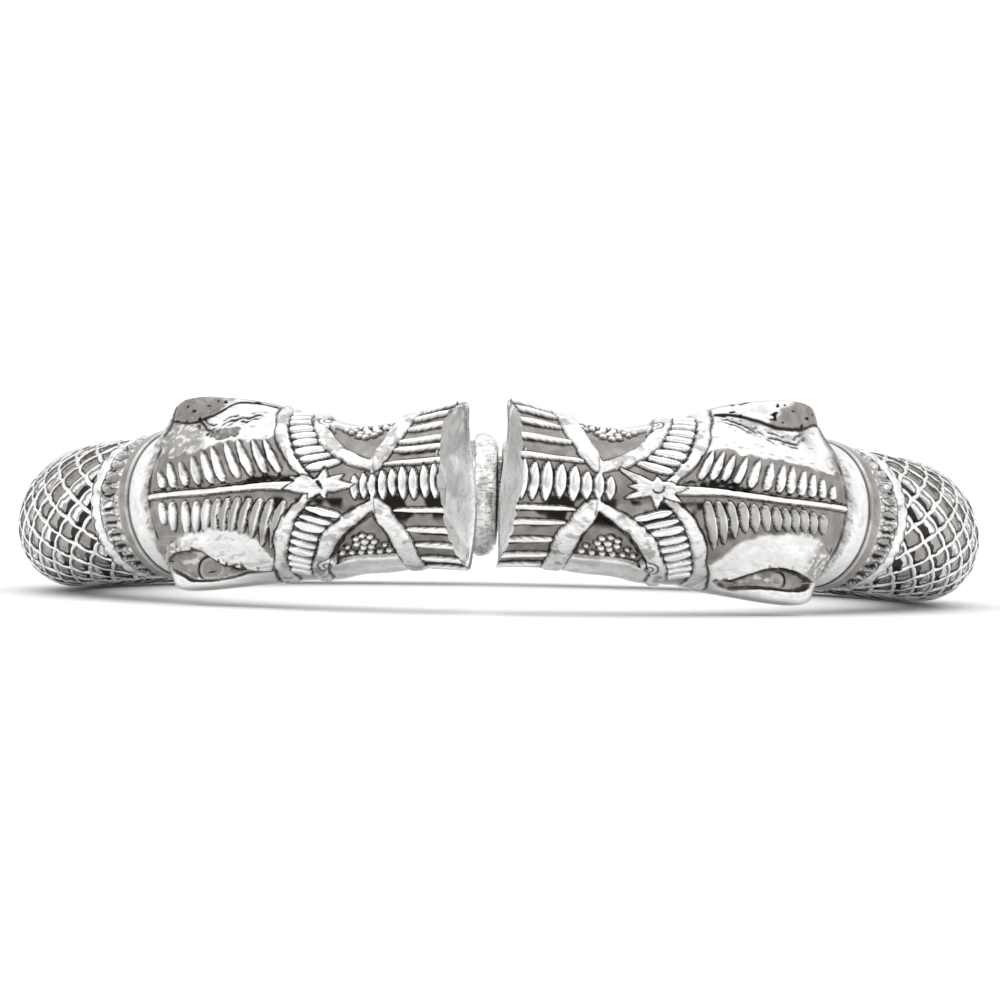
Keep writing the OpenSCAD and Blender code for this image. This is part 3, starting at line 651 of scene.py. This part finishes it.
def head_relief(side, s, a, relief_h):
    """Height, grey ground of painted reflection, dark hollows of painted shade and matte finish of the cast
    relief on a head.
    """
    k = HEAD_L[side] / STATIONS
    x = s * k
    w = rad(a) * GIRTH_R
    u = np.abs(w)
    mid = smooth(MIDLINE, s)
    carved = ease(*FIELD_START, s) * (1 - ease(*FIELD_HALF, u))
    cast = Cast(carved)
    groove = lay_field(cast, side, s, x, w, k, mid)
    lay_bands(cast, side, s, x, w, u, k, mid)
    sunk, beads = lay_windows(cast, s, x, w, u, k)
    ground = -0.13 - 0.5 * sunk
    height = ground + (relief_h - ground) * cast.lift + 0.3 * beads - 0.14 * groove * (1 - cast.lift)
    # The near rim stays inside the CAD arm's box
    height = height * carved - 0.19 * np.cos(rad(a)).clip(0) ** 2 * ease(21, 26, s)
    cast.grey = cast.grey * carved
    cast.dark = cast.dark * carved
    start = EAR_SPAN[side][0]
    on = ease(start + 0.2, start + 0.9, s) * ease(0.1, -0.1, s - smooth(BAND_OUTER, u) + 0.15)
    on = on * (1 - ease(98, 116, np.abs(a) + 8 * wave(x * 0.7, w * 0.5, 71)))
    for sign, paint in ((1, paint_upper_ear), (-1, paint_lower_ear)):
        here = on * (a * sign > 20)
        drop = paint(cast, side, s, a, x, w, here)
        height = height * (1 - here * ease(-1.5, 1.5, np.abs(a) - smooth(FLANK[side, sign], s))) + drop
    height = np.where(s < COLLAR_END, paint_collar(cast, s, x, w), height)
    return height, np.clip(cast.grey, 0, 1), crisp(cast.dark), np.clip(cast.matte, 0, 1)


def tube_relief(side, a, b, net_h):
    """Height and masks of the net, the ring and the row of small pockets, and the net's coordinates."""
    a0, b0 = NET_ORIGIN[side]
    p, q = (a0 - a) / NET_STEP, (b - b0) / NET_TURN
    # Ridges run where f or g is whole. p grows towards the head and q upwards
    f, g = (p + q) / 2 + 0.5, (p - q) / 2 + 0.5
    df, dg = f - np.floor(f), g - np.floor(g)
    # Each scale bulges away from the head
    f, g = f + SCALE_BULGE * 4 * dg * (1 - dg), g + SCALE_BULGE * 4 * df * (1 - df)
    df, dg = f - np.floor(f), g - np.floor(g)
    away = np.minimum(np.minimum(df, 1 - df), np.minimum(dg, 1 - dg)) * NET_LANE
    floor = -0.04 - 0.14 * ease(0.15, 0.9, dg * 0.75 + df * 0.25)
    net = floor + (net_h - floor) * plateau(0.24 - away, 0.2)
    web = ease(NET_END - 0.1, NET_END + 0.1, a)
    # Millimetres to a degree, along the arm and round it
    along, across = RING_R * math.pi / 180, TUBE_R * math.pi / 180
    # Beaded ring, then small pockets with lumps between them
    bead = np.abs(np.cos(np.pi * q)) + 0.35 * wave(b * 0.11, a * 0.7, 61)
    shaky = 0.22 * wave(b * 0.16, a * 0.9, side)
    ring_in = np.minimum(a - RING_A[0] - shaky, RING_A[1] + 0.3 * bead - 0.3 - a) * along
    is_ring = ease(-0.03, 0.05, ring_in)
    cast = Cast(np.zeros_like(a))
    for shift, middle, long, wide, tone in SMALL_ROW:
        db = (q + shift - np.round(q + shift)) * NET_TURN * across
        e = (1 - np.hypot((a - middle) * along / long, db / wide)) * wide + 0.05 * wave(a * 1.2, b * 0.2, 8)
        cast.lay(e, 0.2, tint=tone, line_shade=0.55)
        # Painted shade: each pocket is black along its lower side
        cast.mark(tone * ease(-0.02, 0.05, e) * ease(-0.06, -0.22, db + 0.1 * wave(a, b * 0.1, 62)))
    small = 0.16 - 0.34 * cast.lift
    ring_h = 0.3 * plateau(ring_in, 0.4) * (0.75 + 0.25 * bead)
    height = (net * web + small * (1 - web)) * (1 - is_ring) + ring_h * is_ring
    off_net = (1 - web) * (1 - is_ring)
    # Painted shade: dark lines at the ring's foot and in the crease where the row meets the collar
    dark = np.maximum(cast.dark * off_net, 0.85 * bell(ring_in + 0.03, 0.07))
    dark = np.maximum(dark, 0.9 * bell((a - ROW_EDGE) * along, 0.12))
    grey = np.maximum(cast.grey * off_net, 0.75 * ease(0.35, 0.6, wave(a * 1.5, b * 0.2, 5)) * is_ring)
    # The last stretch dives under the back end
    tail = ease(*NET_TAIL, a)
    height = height * (1 - tail) - 0.35 * tail
    masks = {"ground": grey * (1 - tail) + tail, "recess_shade": crisp(dark), "matte": 0.5 * is_ring,
             "web": web * (1 - is_ring) * (1 - tail)}
    return height, masks, np.stack([f, g], axis=-1)


def deselect():
    if bpy.context.object and bpy.context.object.mode != "OBJECT":
        bpy.ops.object.mode_set(mode="OBJECT")
    bpy.ops.object.select_all(action="DESELECT")


def skin(name, points, masks, pattern=None):
    """A closed skin from a grid primitive, its points in rows of rings whose first and last columns meet."""
    rows, cols = points.shape[:2]
    deselect()
    bpy.ops.mesh.primitive_grid_add(x_subdivisions=cols - 1, y_subdivisions=rows - 1, size=1)
    o = bpy.context.object
    o.name = name
    me = o.data
    me.name = name
    me.vertices.foreach_set("co", (points.reshape(-1, 3) * MM).astype(np.float32).ravel())
    for key, values in masks.items():
        me.attributes.new(key, "FLOAT", "POINT").data.foreach_set("value", values.astype(np.float32).ravel())
    if pattern is not None:
        corner = np.empty(len(me.loops), dtype=np.int32)
        me.loops.foreach_get("vertex_index", corner)
        uv = me.uv_layers.new(name="net")
        uv.data.foreach_set("uv", pattern.reshape(-1, 2)[corner].astype(np.float32).ravel())
    me.update()
    bpy.ops.object.mode_set(mode="EDIT")
    bpy.ops.mesh.select_all(action="SELECT")
    bpy.ops.mesh.remove_doubles(threshold=2e-7)
    bpy.ops.mesh.select_all(action="DESELECT")
    bpy.ops.mesh.select_mode(type="EDGE")
    bpy.ops.mesh.select_non_manifold()
    bpy.ops.mesh.edge_face_add()
    bpy.ops.mesh.select_all(action="SELECT")
    bpy.ops.mesh.normals_make_consistent(inside=False)
    bpy.ops.object.mode_set(mode="OBJECT")
    bpy.ops.object.shade_smooth()
    return o


def muzzle(side, a):
    """Rings of the dished muzzle from its rim to its middle, with their grey, dark and matte masks."""
    t = np.linspace(0, 1, MUZZLE_ROWS)[1:, None] * np.ones_like(a)
    aa = np.ones_like(t) * a
    reach = 1 - t
    r = (MUZZLE_R + CORNER_R * corner_at(aa)) * reach
    n, z = r * np.cos(rad(aa)), r * np.sin(rad(aa))
    depth = DISH * (1 - reach ** 2) + 0.1 * ease(0, 0.03, t) * (1 - ease(0.03, 0.1, t))
    inner = ease(0.04, 0.16, t)
    if side == LEFT:
        spine = -0.3 + 0.6 * np.sin(z * 0.55 + 0.4)
        lump = 0.65 * bell(n - spine, 1.0) * (0.65 + 0.35 * np.sin(z * 1.7 + 1.0))
        lump = lump + 0.35 * bell(n + 2.6, 0.9) * np.sin(z * 1.1).clip(0)
        strip = ease(1.2, 1.7, n + 0.35 * wave(z * 0.9, n * 0.3, 1))
    else:
        lump = 0.35 * ease(2.3, 1.5, n + 0.08 * z * z / 6.2)
        strip = ease(1.9, 2.2, n + 0.05 * z * z + 0.15 * wave(z * 0.8, 0 * n, 3))
    lump = (lump + 0.05 * wave(n * 0.9, z * 0.7, 3 + side)) * inner
    lines = bell(wave(n * 1.3, z * 0.7, 6 + side), 0.1)
    # Painted reflection: the near strip is an even grey; beyond it lie fine grey lines over the lumps
    tone = inner * np.clip(0.26 * strip + (1 - strip) * 0.42 * lines, 0, 0.5)
    corners, sides = rim_reach(side, aa)
    st = STATIONS + corners * reach ** 3 + sides * reach ** 2 - depth + lump + 0.03
    return head_point(side, st, n, z), tone, np.zeros_like(t), inner * (0.5 + 0.5 * strip)


def angles_round(fine, *coarse):
    """Angles once round a section, close together at the front and wider apart behind."""
    outer = np.concatenate([np.arange(*part) for part in coarse])
    return np.concatenate([[-180.0], -outer[::-1], np.arange(*fine), outer, [180.0]])


def make_head(side, relief_h):
    a = angles_round(*HEAD_ANGLES)
    s = np.concatenate([HEAD_FOOT, np.linspace(0, STATIONS, HEAD_ROWS)])
    ss, aa = np.meshgrid(s, a, indexing="ij")
    height, *masks = head_relief(side, ss, aa, relief_h)
    face, *face_masks = muzzle(side, a)
    points = np.concatenate([push(head_base(side, ss, aa), height), face])
    points[:, -1] = points[:, 0]
    frost = 0.7 * ease(0.6, 0.8, masks[-1])
    pairs = zip(("ground", "recess_shade", "matte", "frost"), [*masks, frost], [*face_masks, face_masks[-1]])
    return skin(f"{ARM[side]}_head_skin", points, {key: np.concatenate(pair) for key, *pair in pairs})


def make_tube(side, net_h):
    first, *rest = (np.linspace(*rows) for rows in TUBE_ROWS)
    a = np.concatenate([first] + [rows[1:] for rows in rest])
    aa, bb = np.meshgrid(a, angles_round(*TUBE_ANGLES), indexing="ij")
    height, masks, pattern = tube_relief(side, aa, bb, net_h)
    points = push(tube_point(side, aa, bb), height)
    points[:, -1] = points[:, 0]
    return skin(f"{ARM[side]}_scale_skin", points, masks, pattern)


def make_back_end(side):
    """Smooth rim at the back end and its hinge knuckles."""
    deselect()
    x0 = side * BACK_SLIT / 2
    outer = TUBE_R + 0.05
    mouth = (x0 * MM, (RING_R + OUTLINE_Y) * MM, BACK_Z * MM)
    bpy.ops.mesh.primitive_circle_add(vertices=96, radius=(outer - END_ROUND) * MM, fill_type="NGON",
                                      location=mouth, rotation=(0, math.pi / 2, 0))
    o = bpy.context.object
    o.name = f"{ARM[side]}_back_end"
    bpy.ops.object.transform_apply(location=True, rotation=True, scale=True)
    bpy.ops.object.mode_set(mode="EDIT")
    bpy.ops.mesh.select_all(action="SELECT")
    steps = []
    for i in range(1, END_STEPS + 1):
        t = math.pi / 2 * i / END_STEPS
        steps.append((outer - END_ROUND + END_ROUND * math.sin(t), END_ROUND - END_ROUND * math.cos(t)))
    steps += [(outer - inwards, w) for inwards, w in END_TAIL]
    r0, w0 = outer - END_ROUND, 0.0
    for r, w in steps:
        bpy.ops.mesh.extrude_region_move(TRANSFORM_OT_translate={"value": (side * (w - w0) * MM, 0, 0)})
        f = r / r0
        bpy.ops.transform.resize(value=(1, f, f), center_override=((x0 + side * w) * MM, mouth[1], mouth[2]))
        r0, w0 = r, w
    bpy.ops.mesh.select_all(action="SELECT")
    bpy.ops.mesh.normals_make_consistent(inside=False)
    bpy.ops.object.mode_set(mode="OBJECT")
    parts = [o]
    hinge_y = (RING_R + TUBE_R + PIN_OUT + OUTLINE_Y) * MM
    wide = KNUCKLE_R - BACK_SLIT / 2
    for level in ((-1, 1) if side == LEFT else (0,)):
        z = (BACK_Z + level * KNUCKLE_PITCH) * MM
        bpy.ops.mesh.primitive_cylinder_add(vertices=64, radius=KNUCKLE_R * MM, depth=KNUCKLE_H * MM,
                                            location=(0, hinge_y, z))
        parts.append(bevelled(0.12, 3))
        at = (side * (BACK_SLIT / 2 + wide / 2) * MM, hinge_y - WEB_L / 2 * MM, z)
        bpy.ops.mesh.primitive_cube_add(size=1, location=at)
        bpy.context.object.scale = (wide * MM, WEB_L * MM, KNUCKLE_H * MM)
        parts.append(bevelled(0.08, 2))
    deselect()
    for p in parts:
        p.select_set(True)
    bpy.context.view_layer.objects.active = o
    bpy.ops.object.join()
    bpy.ops.object.shade_smooth_by_angle(angle=math.radians(35))
    return o


def bevelled(offset, segments):
    """Applies the active piece's transforms and rounds its edges."""
    bpy.ops.object.transform_apply(location=True, rotation=True, scale=True)
    bpy.ops.object.mode_set(mode="EDIT")
    bpy.ops.mesh.select_all(action="SELECT")
    bpy.ops.mesh.bevel(offset=offset * MM, segments=segments, affect="EDGES")
    bpy.ops.object.mode_set(mode="OBJECT")
    return bpy.context.object


def attach(tree, socket, value):
    """Links a node's output to a socket, or sets the socket's own value."""
    if isinstance(value, bpy.types.NodeSocket):
        tree.links.new(value, socket)
    else:
        socket.default_value = value


def calc(tree, op, *values):
    n = tree.nodes.new("ShaderNodeMath")
    n.operation = op
    for socket, v in zip(n.inputs, values):
        attach(tree, socket, v)
    return n.outputs[0]


def ramp(tree, value, low, high, to=(0.0, 1.0)):
    """A smooth step of a value from low to high."""
    n = tree.nodes.new("ShaderNodeMapRange")
    n.interpolation_type = "SMOOTHSTEP"
    for key, v in zip(("Value", "From Min", "From Max", "To Min", "To Max"), (value, low, high, *to)):
        attach(tree, n.inputs[key], v)
    return n.outputs["Result"]


def mix_colour(tree, fac, a, b):
    n = tree.nodes.new("ShaderNodeMix")
    n.data_type = "RGBA"
    for socket, v in ((n.inputs[0], fac), (n.inputs[6], a), (n.inputs[7], b)):
        attach(tree, socket, v)
    return n.outputs[2]


def group(name, inputs, outputs):
    """An empty node group with named sockets, each given as (name, kind, value)."""
    g = bpy.data.node_groups.new(name, "ShaderNodeTree")
    for key, kind, value in inputs:
        g.interface.new_socket(key, in_out="INPUT", socket_type=f"NodeSocket{kind}").default_value = value
    for key in outputs:
        g.interface.new_socket(key, in_out="OUTPUT", socket_type="NodeSocketFloat")
    return g, g.nodes.new("NodeGroupInput").outputs, g.nodes.new("NodeGroupOutput").inputs


def grain_group():
    """Wandering marks from 0 to 1 by object coordinates."""
    g, i, o = group("grain", (("Scale", "Float", 900.0), ("Low", "Float", 0.35), ("High", "Float", 0.65),
                              ("Stretch", "Vector", (1.0, 1.0, 1.0))), ("Mask",))
    c = g.nodes.new("ShaderNodeTexCoord")
    stretch = g.nodes.new("ShaderNodeVectorMath")
    stretch.operation = "MULTIPLY"
    n = g.nodes.new("ShaderNodeTexNoise")
    n.inputs["Detail"].default_value = 3.0
    g.links.new(c.outputs["Object"], stretch.inputs[0])
    g.links.new(i["Stretch"], stretch.inputs[1])
    g.links.new(stretch.outputs[0], n.inputs["Vector"])
    g.links.new(i["Scale"], n.inputs["Scale"])
    g.links.new(ramp(g, n.outputs["Fac"], i["Low"], i["High"]), o["Mask"])
    return g


def net_group():
    """Thin ridges, black wedges and outlines of painted shade, each pocket's own tone and its gleam, by the
    net's coordinates.
    """
    g, i, o = group("scale_net", (("Net", "Vector", (0.0, 0.0, 0.0)), ("Ridge", "Float", 0.15),
                                  ("Wobble", "Float", 0.0)), ("Line", "Ink", "Cell", "Gleam"))
    operations = ("ADD", "SUBTRACT", "MULTIPLY", "MULTIPLY_ADD")
    plus, minus, times, times_plus = (partial(calc, g, op) for op in operations)
    split = g.nodes.new("ShaderNodeSeparateXYZ")
    g.links.new(i["Net"], split.inputs[0])
    f, h = split.outputs[0], split.outputs[1]
    part_f, part_h = calc(g, "FRACT", f), calc(g, "FRACT", h)
    near = calc(g, "MINIMUM", calc(g, "PINGPONG", f, 0.5), calc(g, "PINGPONG", h, 0.5))
    away = plus(times(near, NET_LANE), i["Wobble"])
    width = i["Ridge"]
    g.links.new(ramp(g, away, plus(width, 0.03), minus(width, 0.03)), o["Line"])
    cell = g.nodes.new("ShaderNodeTexWhiteNoise")
    cell.noise_dimensions = "2D"
    corner = g.nodes.new("ShaderNodeCombineXYZ")
    for socket, v in zip(corner.inputs, (f, h)):
        g.links.new(calc(g, "FLOOR", v), socket)
    g.links.new(corner.outputs[0], cell.inputs["Vector"])
    own = cell.outputs["Value"]
    g.links.new(own, o["Cell"])
    outline = times(ramp(g, away, width, plus(width, 0.03)),
                    ramp(g, away, plus(width, 0.15), plus(width, 0.06)))
    # The dark band of painted shade lies on the head's side of a pocket and widens a little along it
    reach = times_plus(part_f, 0.14, times_plus(own, 0.34, 0.26))
    gap = times_plus(i["Wobble"], 1.6, minus(1.0, part_h))
    inside = ramp(g, away, width, plus(width, 0.04))
    wedge = times(ramp(g, gap, reach, minus(reach, 0.05)), inside)
    # The dark outline of painted shade is strong on the wedge's half of a pocket and fainter on the other
    weight = ramp(g, part_h, 0.25, 0.65, to=(0.75, 1.0))
    g.links.new(calc(g, "MAXIMUM", times(outline, weight), wedge), o["Ink"])
    # Opposite it some pockets catch the light
    lit = times(ramp(g, own, 0.45, 0.7), 0.34)
    gleam = ramp(g, plus(part_h, times(i["Wobble"], 2.0)), plus(lit, 0.06), lit)
    g.links.new(times(gleam, inside), o["Gleam"])
    return g


def use(tree, group_tree, **values):
    n = tree.nodes.new("ShaderNodeGroup")
    n.node_tree = group_tree
    for key, v in values.items():
        attach(tree, n.inputs[key], v)
    return n.outputs


def mask_of(tree, key):
    n = tree.nodes.new("ShaderNodeAttribute")
    n.attribute_name = key
    return n.outputs["Fac"]


def silver(name, settings, grain, net=None, cast=True):
    """Polished silver. Cast pieces carry masks for a grey ground of painted reflection, dark hollows of
    painted shade, matte and frosted places.
    """
    m = bpy.data.materials.new(name)
    m.use_nodes = True
    t = m.node_tree
    p = t.nodes["Principled BSDF"]
    p.inputs["Metallic"].default_value = 1.0
    mix = partial(mix_colour, t)
    times, times_plus = partial(calc, t, "MULTIPLY"), partial(calc, t, "MULTIPLY_ADD")
    bright = (*settings.bright, 1)
    dull = (*[0.88 * v for v in settings.bright], 1)
    ground = (*settings.ground, 1)
    deep = (*[0.72 * v for v in settings.ground], 1)
    marks = use(t, grain)["Mask"]
    pits = use(t, grain, Scale=2600.0, Low=0.55, High=0.7)["Mask"]
    scratches = use(t, grain, Scale=1400.0, Low=0.5, High=0.62, Stretch=(1.0, 1.0, 4.0))["Mask"]
    colour = mix(marks, bright, dull)
    if cast:
        grey, recess_shade, matte, frost = (mask_of(t, key) for key in ("ground", "recess_shade", "matte", "frost"))
        spots = times(times(scratches, times_plus(matte, 0.3, 0.05)), times_plus(frost, -0.9, 1.0))
        colour = mix(spots, colour, (0.3, 0.29, 0.28, 1))
        tone = mix(marks, ground, deep)
        if net:
            uv = t.nodes.new("ShaderNodeUVMap")
            uv.uv_map = "net"
            wobble = times(calc(t, "SUBTRACT", use(t, grain, Scale=700.0)["Mask"], 0.5), 0.09)
            lace = use(t, net, Net=uv.outputs[0], Wobble=wobble)
            web = mask_of(t, "web")
            grey = calc(t, "MAXIMUM", grey, times(web, calc(t, "SUBTRACT", 1.0, lace["Line"])))
            recess_shade = calc(t, "MAXIMUM", recess_shade, times(web, lace["Ink"]))
            tone = mix(times(lace["Cell"], 0.3), tone, bright)
            tone = mix(times(lace["Gleam"], 0.85), tone, bright)
        colour = mix(grey, colour, tone)
        # Painted shade: the hollows and outlines turn near black
        colour = mix(recess_shade, colour, (0.012, 0.010, 0.009, 1))
        t.links.new(times_plus(matte, 0.32, 0.14), p.inputs["Roughness"])
        t.links.new(times_plus(frost, -0.8, 1.0), p.inputs["Metallic"])
        strength = times_plus(matte, 0.7, 0.3)
    else:
        cracks = use(t, grain, Scale=420.0, Low=0.52, High=0.6, Stretch=(2.2, 1.0, 0.8))["Mask"]
        for wear, share, tint in ((cracks, 0.5, ground), (pits, 0.6, ground), (scratches, 0.55, deep)):
            colour = mix(times(wear, share), colour, tint)
        p.inputs["Roughness"].default_value = 0.22
        strength = 0.6
    t.links.new(colour, p.inputs["Base Color"])
    bump = t.nodes.new("ShaderNodeBump")
    bump.inputs["Distance"].default_value = 0.03 * MM
    attach(t, bump.inputs["Strength"], strength)
    t.links.new(pits, bump.inputs["Height"])
    t.links.new(bump.outputs[0], p.inputs["Normal"])
    return m


def make_world():
    """Even white light all round, with a soft grey patch in front, as a room is seen in polished metal."""
    world = bpy.data.worlds.new("studio")
    bpy.context.scene.world = world
    world.use_nodes = True
    t = world.node_tree
    bg = t.nodes["Background"]
    co = t.nodes.new("ShaderNodeTexCoord")
    dot = t.nodes.new("ShaderNodeVectorMath")
    dot.operation = "DOT_PRODUCT"
    dot.inputs[1].default_value = ROOM_FRONT
    t.links.new(co.outputs["Generated"], dot.inputs[0])
    t.links.new(ramp(t, dot.outputs["Value"], *ROOM_EDGE, to=ROOM_LIGHT), bg.inputs["Strength"])
    bg.inputs["Color"].default_value = (1.0, 1.0, 1.0, 1)


def make_floor():
    deselect()
    bpy.ops.mesh.primitive_plane_add(size=6, location=(0, 0, 0))
    floor = bpy.context.object
    floor.name = "floor"
    m = bpy.data.materials.new("pale_floor")
    m.use_nodes = True
    p = m.node_tree.nodes["Principled BSDF"]
    p.inputs["Base Color"].default_value = (0.96, 0.96, 0.96, 1)
    p.inputs["Roughness"].default_value = 0.9
    p.inputs["Specular IOR Level"].default_value = 0.0
    floor.data.materials.append(m)


def make_lights():
    for name, at, size, power in LAMPS:
        bpy.ops.object.light_add(type="AREA", location=at)
        lamp = bpy.context.object
        lamp.name = name
        lamp.data.size = size
        lamp.data.energy = power
        lamp.rotation_euler = (Vector((0, 0, 0)) - Vector(at)).to_track_quat("-Z", "Y").to_euler()


def make_camera():
    """The photograph's view: one degree above level, half a metre away, rolled by one degree."""
    e, roll = math.radians(VIEW_RISE), math.radians(VIEW_ROLL)
    fwd = Vector((0, math.cos(e), -math.sin(e)))
    up0, right0 = Vector((0, math.sin(e), math.cos(e))), Vector((1, 0, 0))
    right = right0 * math.cos(roll) + up0 * math.sin(roll)
    up = up0 * math.cos(roll) - right0 * math.sin(roll)
    eye = Vector(AIM) * MM + up * (AIM_BELOW_PX / PX_PER_MM * MM) - fwd * VIEW_DISTANCE
    bpy.ops.object.camera_add()
    cam = bpy.context.object
    cam.data.sensor_width = SENSOR
    cam.data.lens = LENS
    cam.matrix_world = Matrix.Translation(eye) @ Matrix((right, up, -fwd)).transposed().to_4x4()
    cam.data.clip_start = 0.01
    bpy.context.scene.camera = cam


class BangleSettings(bpy.types.PropertyGroup):
    relief_height: bpy.props.FloatProperty(
        name="Relief height", description="Height of the cast relief on the heads",
        default=0.25 * MM, unit="LENGTH", subtype="DISTANCE")
    net_height: bpy.props.FloatProperty(
        name="Net height", description="Height of the raised net of scales",
        default=0.22 * MM, unit="LENGTH", subtype="DISTANCE")
    bright: bpy.props.FloatVectorProperty(
        name="Bright silver", description="Colour of the polished raised places",
        default=(0.89, 0.885, 0.875), subtype="COLOR")
    # The grey ground is painted reflection in the sunken flat places
    ground: bpy.props.FloatVectorProperty(
        name="Grey ground", description="Colour of the sunken flat places",
        default=(0.30, 0.283, 0.27), subtype="COLOR")


def finish_piece(o, side, material):
    """Gives an arm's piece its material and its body."""
    o.data.materials.append(bpy.data.materials[material])
    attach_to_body(o, BODY[side])
    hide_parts(f"{ARM[side]}_arm")


class BANGLE_OT_finishes(bpy.types.Operator):
    """Make the silver finishes"""
    bl_idname = "bangle.finishes"
    bl_label = "Silver finishes"

    def execute(self, context):
        settings = context.scene.bangle
        grain, net = grain_group(), net_group()
        silver("cast_silver", settings, grain)
        silver("scale_silver", settings, grain, net=net)
        silver("plain_silver", settings, grain, cast=False)
        return {"FINISHED"}


class BANGLE_OT_heads(bpy.types.Operator):
    """Model both beast heads and their dished muzzles"""
    bl_idname = "bangle.heads"
    bl_label = "Beast heads"

    def execute(self, context):
        for side in (LEFT, RIGHT):
            finish_piece(make_head(side, context.scene.bangle.relief_height / MM), side, "cast_silver")
        return {"FINISHED"}


class BANGLE_OT_scales(bpy.types.Operator):
    """Model the scaled part of both arms"""
    bl_idname = "bangle.scales"
    bl_label = "Scaled arms"

    def execute(self, context):
        for side in (LEFT, RIGHT):
            finish_piece(make_tube(side, context.scene.bangle.net_height / MM), side, "scale_silver")
        return {"FINISHED"}


class BANGLE_OT_hinge(bpy.types.Operator):
    """Model the smooth back ends with their knuckles, and finish the hinge pin"""
    bl_idname = "bangle.hinge"
    bl_label = "Back ends and hinge"

    def execute(self, context):
        for side in (LEFT, RIGHT):
            finish_piece(make_back_end(side), side, "plain_silver")
        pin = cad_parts["hinge_pin"]
        pin.data.materials.clear()
        pin.data.materials.append(bpy.data.materials["plain_silver"])
        return {"FINISHED"}


class BANGLE_OT_stage(bpy.types.Operator):
    """Set up the pale floor, the soft light and the camera"""
    bl_idname = "bangle.stage"
    bl_label = "Studio"

    def execute(self, context):
        context.scene.view_settings.view_transform = "Standard"
        make_world()
        make_floor()
        make_lights()
        make_camera()
        return {"FINISHED"}


class BANGLE_PT_panel(bpy.types.Panel):
    bl_label = "Beast head bangle"
    bl_space_type = "VIEW_3D"
    bl_region_type = "UI"
    bl_category = "Bangle"

    def draw(self, context):
        for key in ("relief_height", "net_height", "bright", "ground"):
            self.layout.prop(context.scene.bangle, key)
        for c in OPERATORS:
            self.layout.operator(c.bl_idname)


OPERATORS = (BANGLE_OT_finishes, BANGLE_OT_heads, BANGLE_OT_scales, BANGLE_OT_hinge, BANGLE_OT_stage)
CLASSES = (BangleSettings, *OPERATORS, BANGLE_PT_panel)


def register():
    for c in CLASSES:
        bpy.utils.register_class(c)
    bpy.types.Scene.bangle = bpy.props.PointerProperty(type=BangleSettings)


def unregister():
    del bpy.types.Scene.bangle
    for c in reversed(CLASSES):
        bpy.utils.unregister_class(c)


def main():
    register()
    bpy.ops.bangle.finishes()
    bpy.ops.bangle.heads()
    bpy.ops.bangle.scales()
    bpy.ops.bangle.hinge()
    bpy.ops.bangle.stage()


if __name__ == "__main__":
    main()
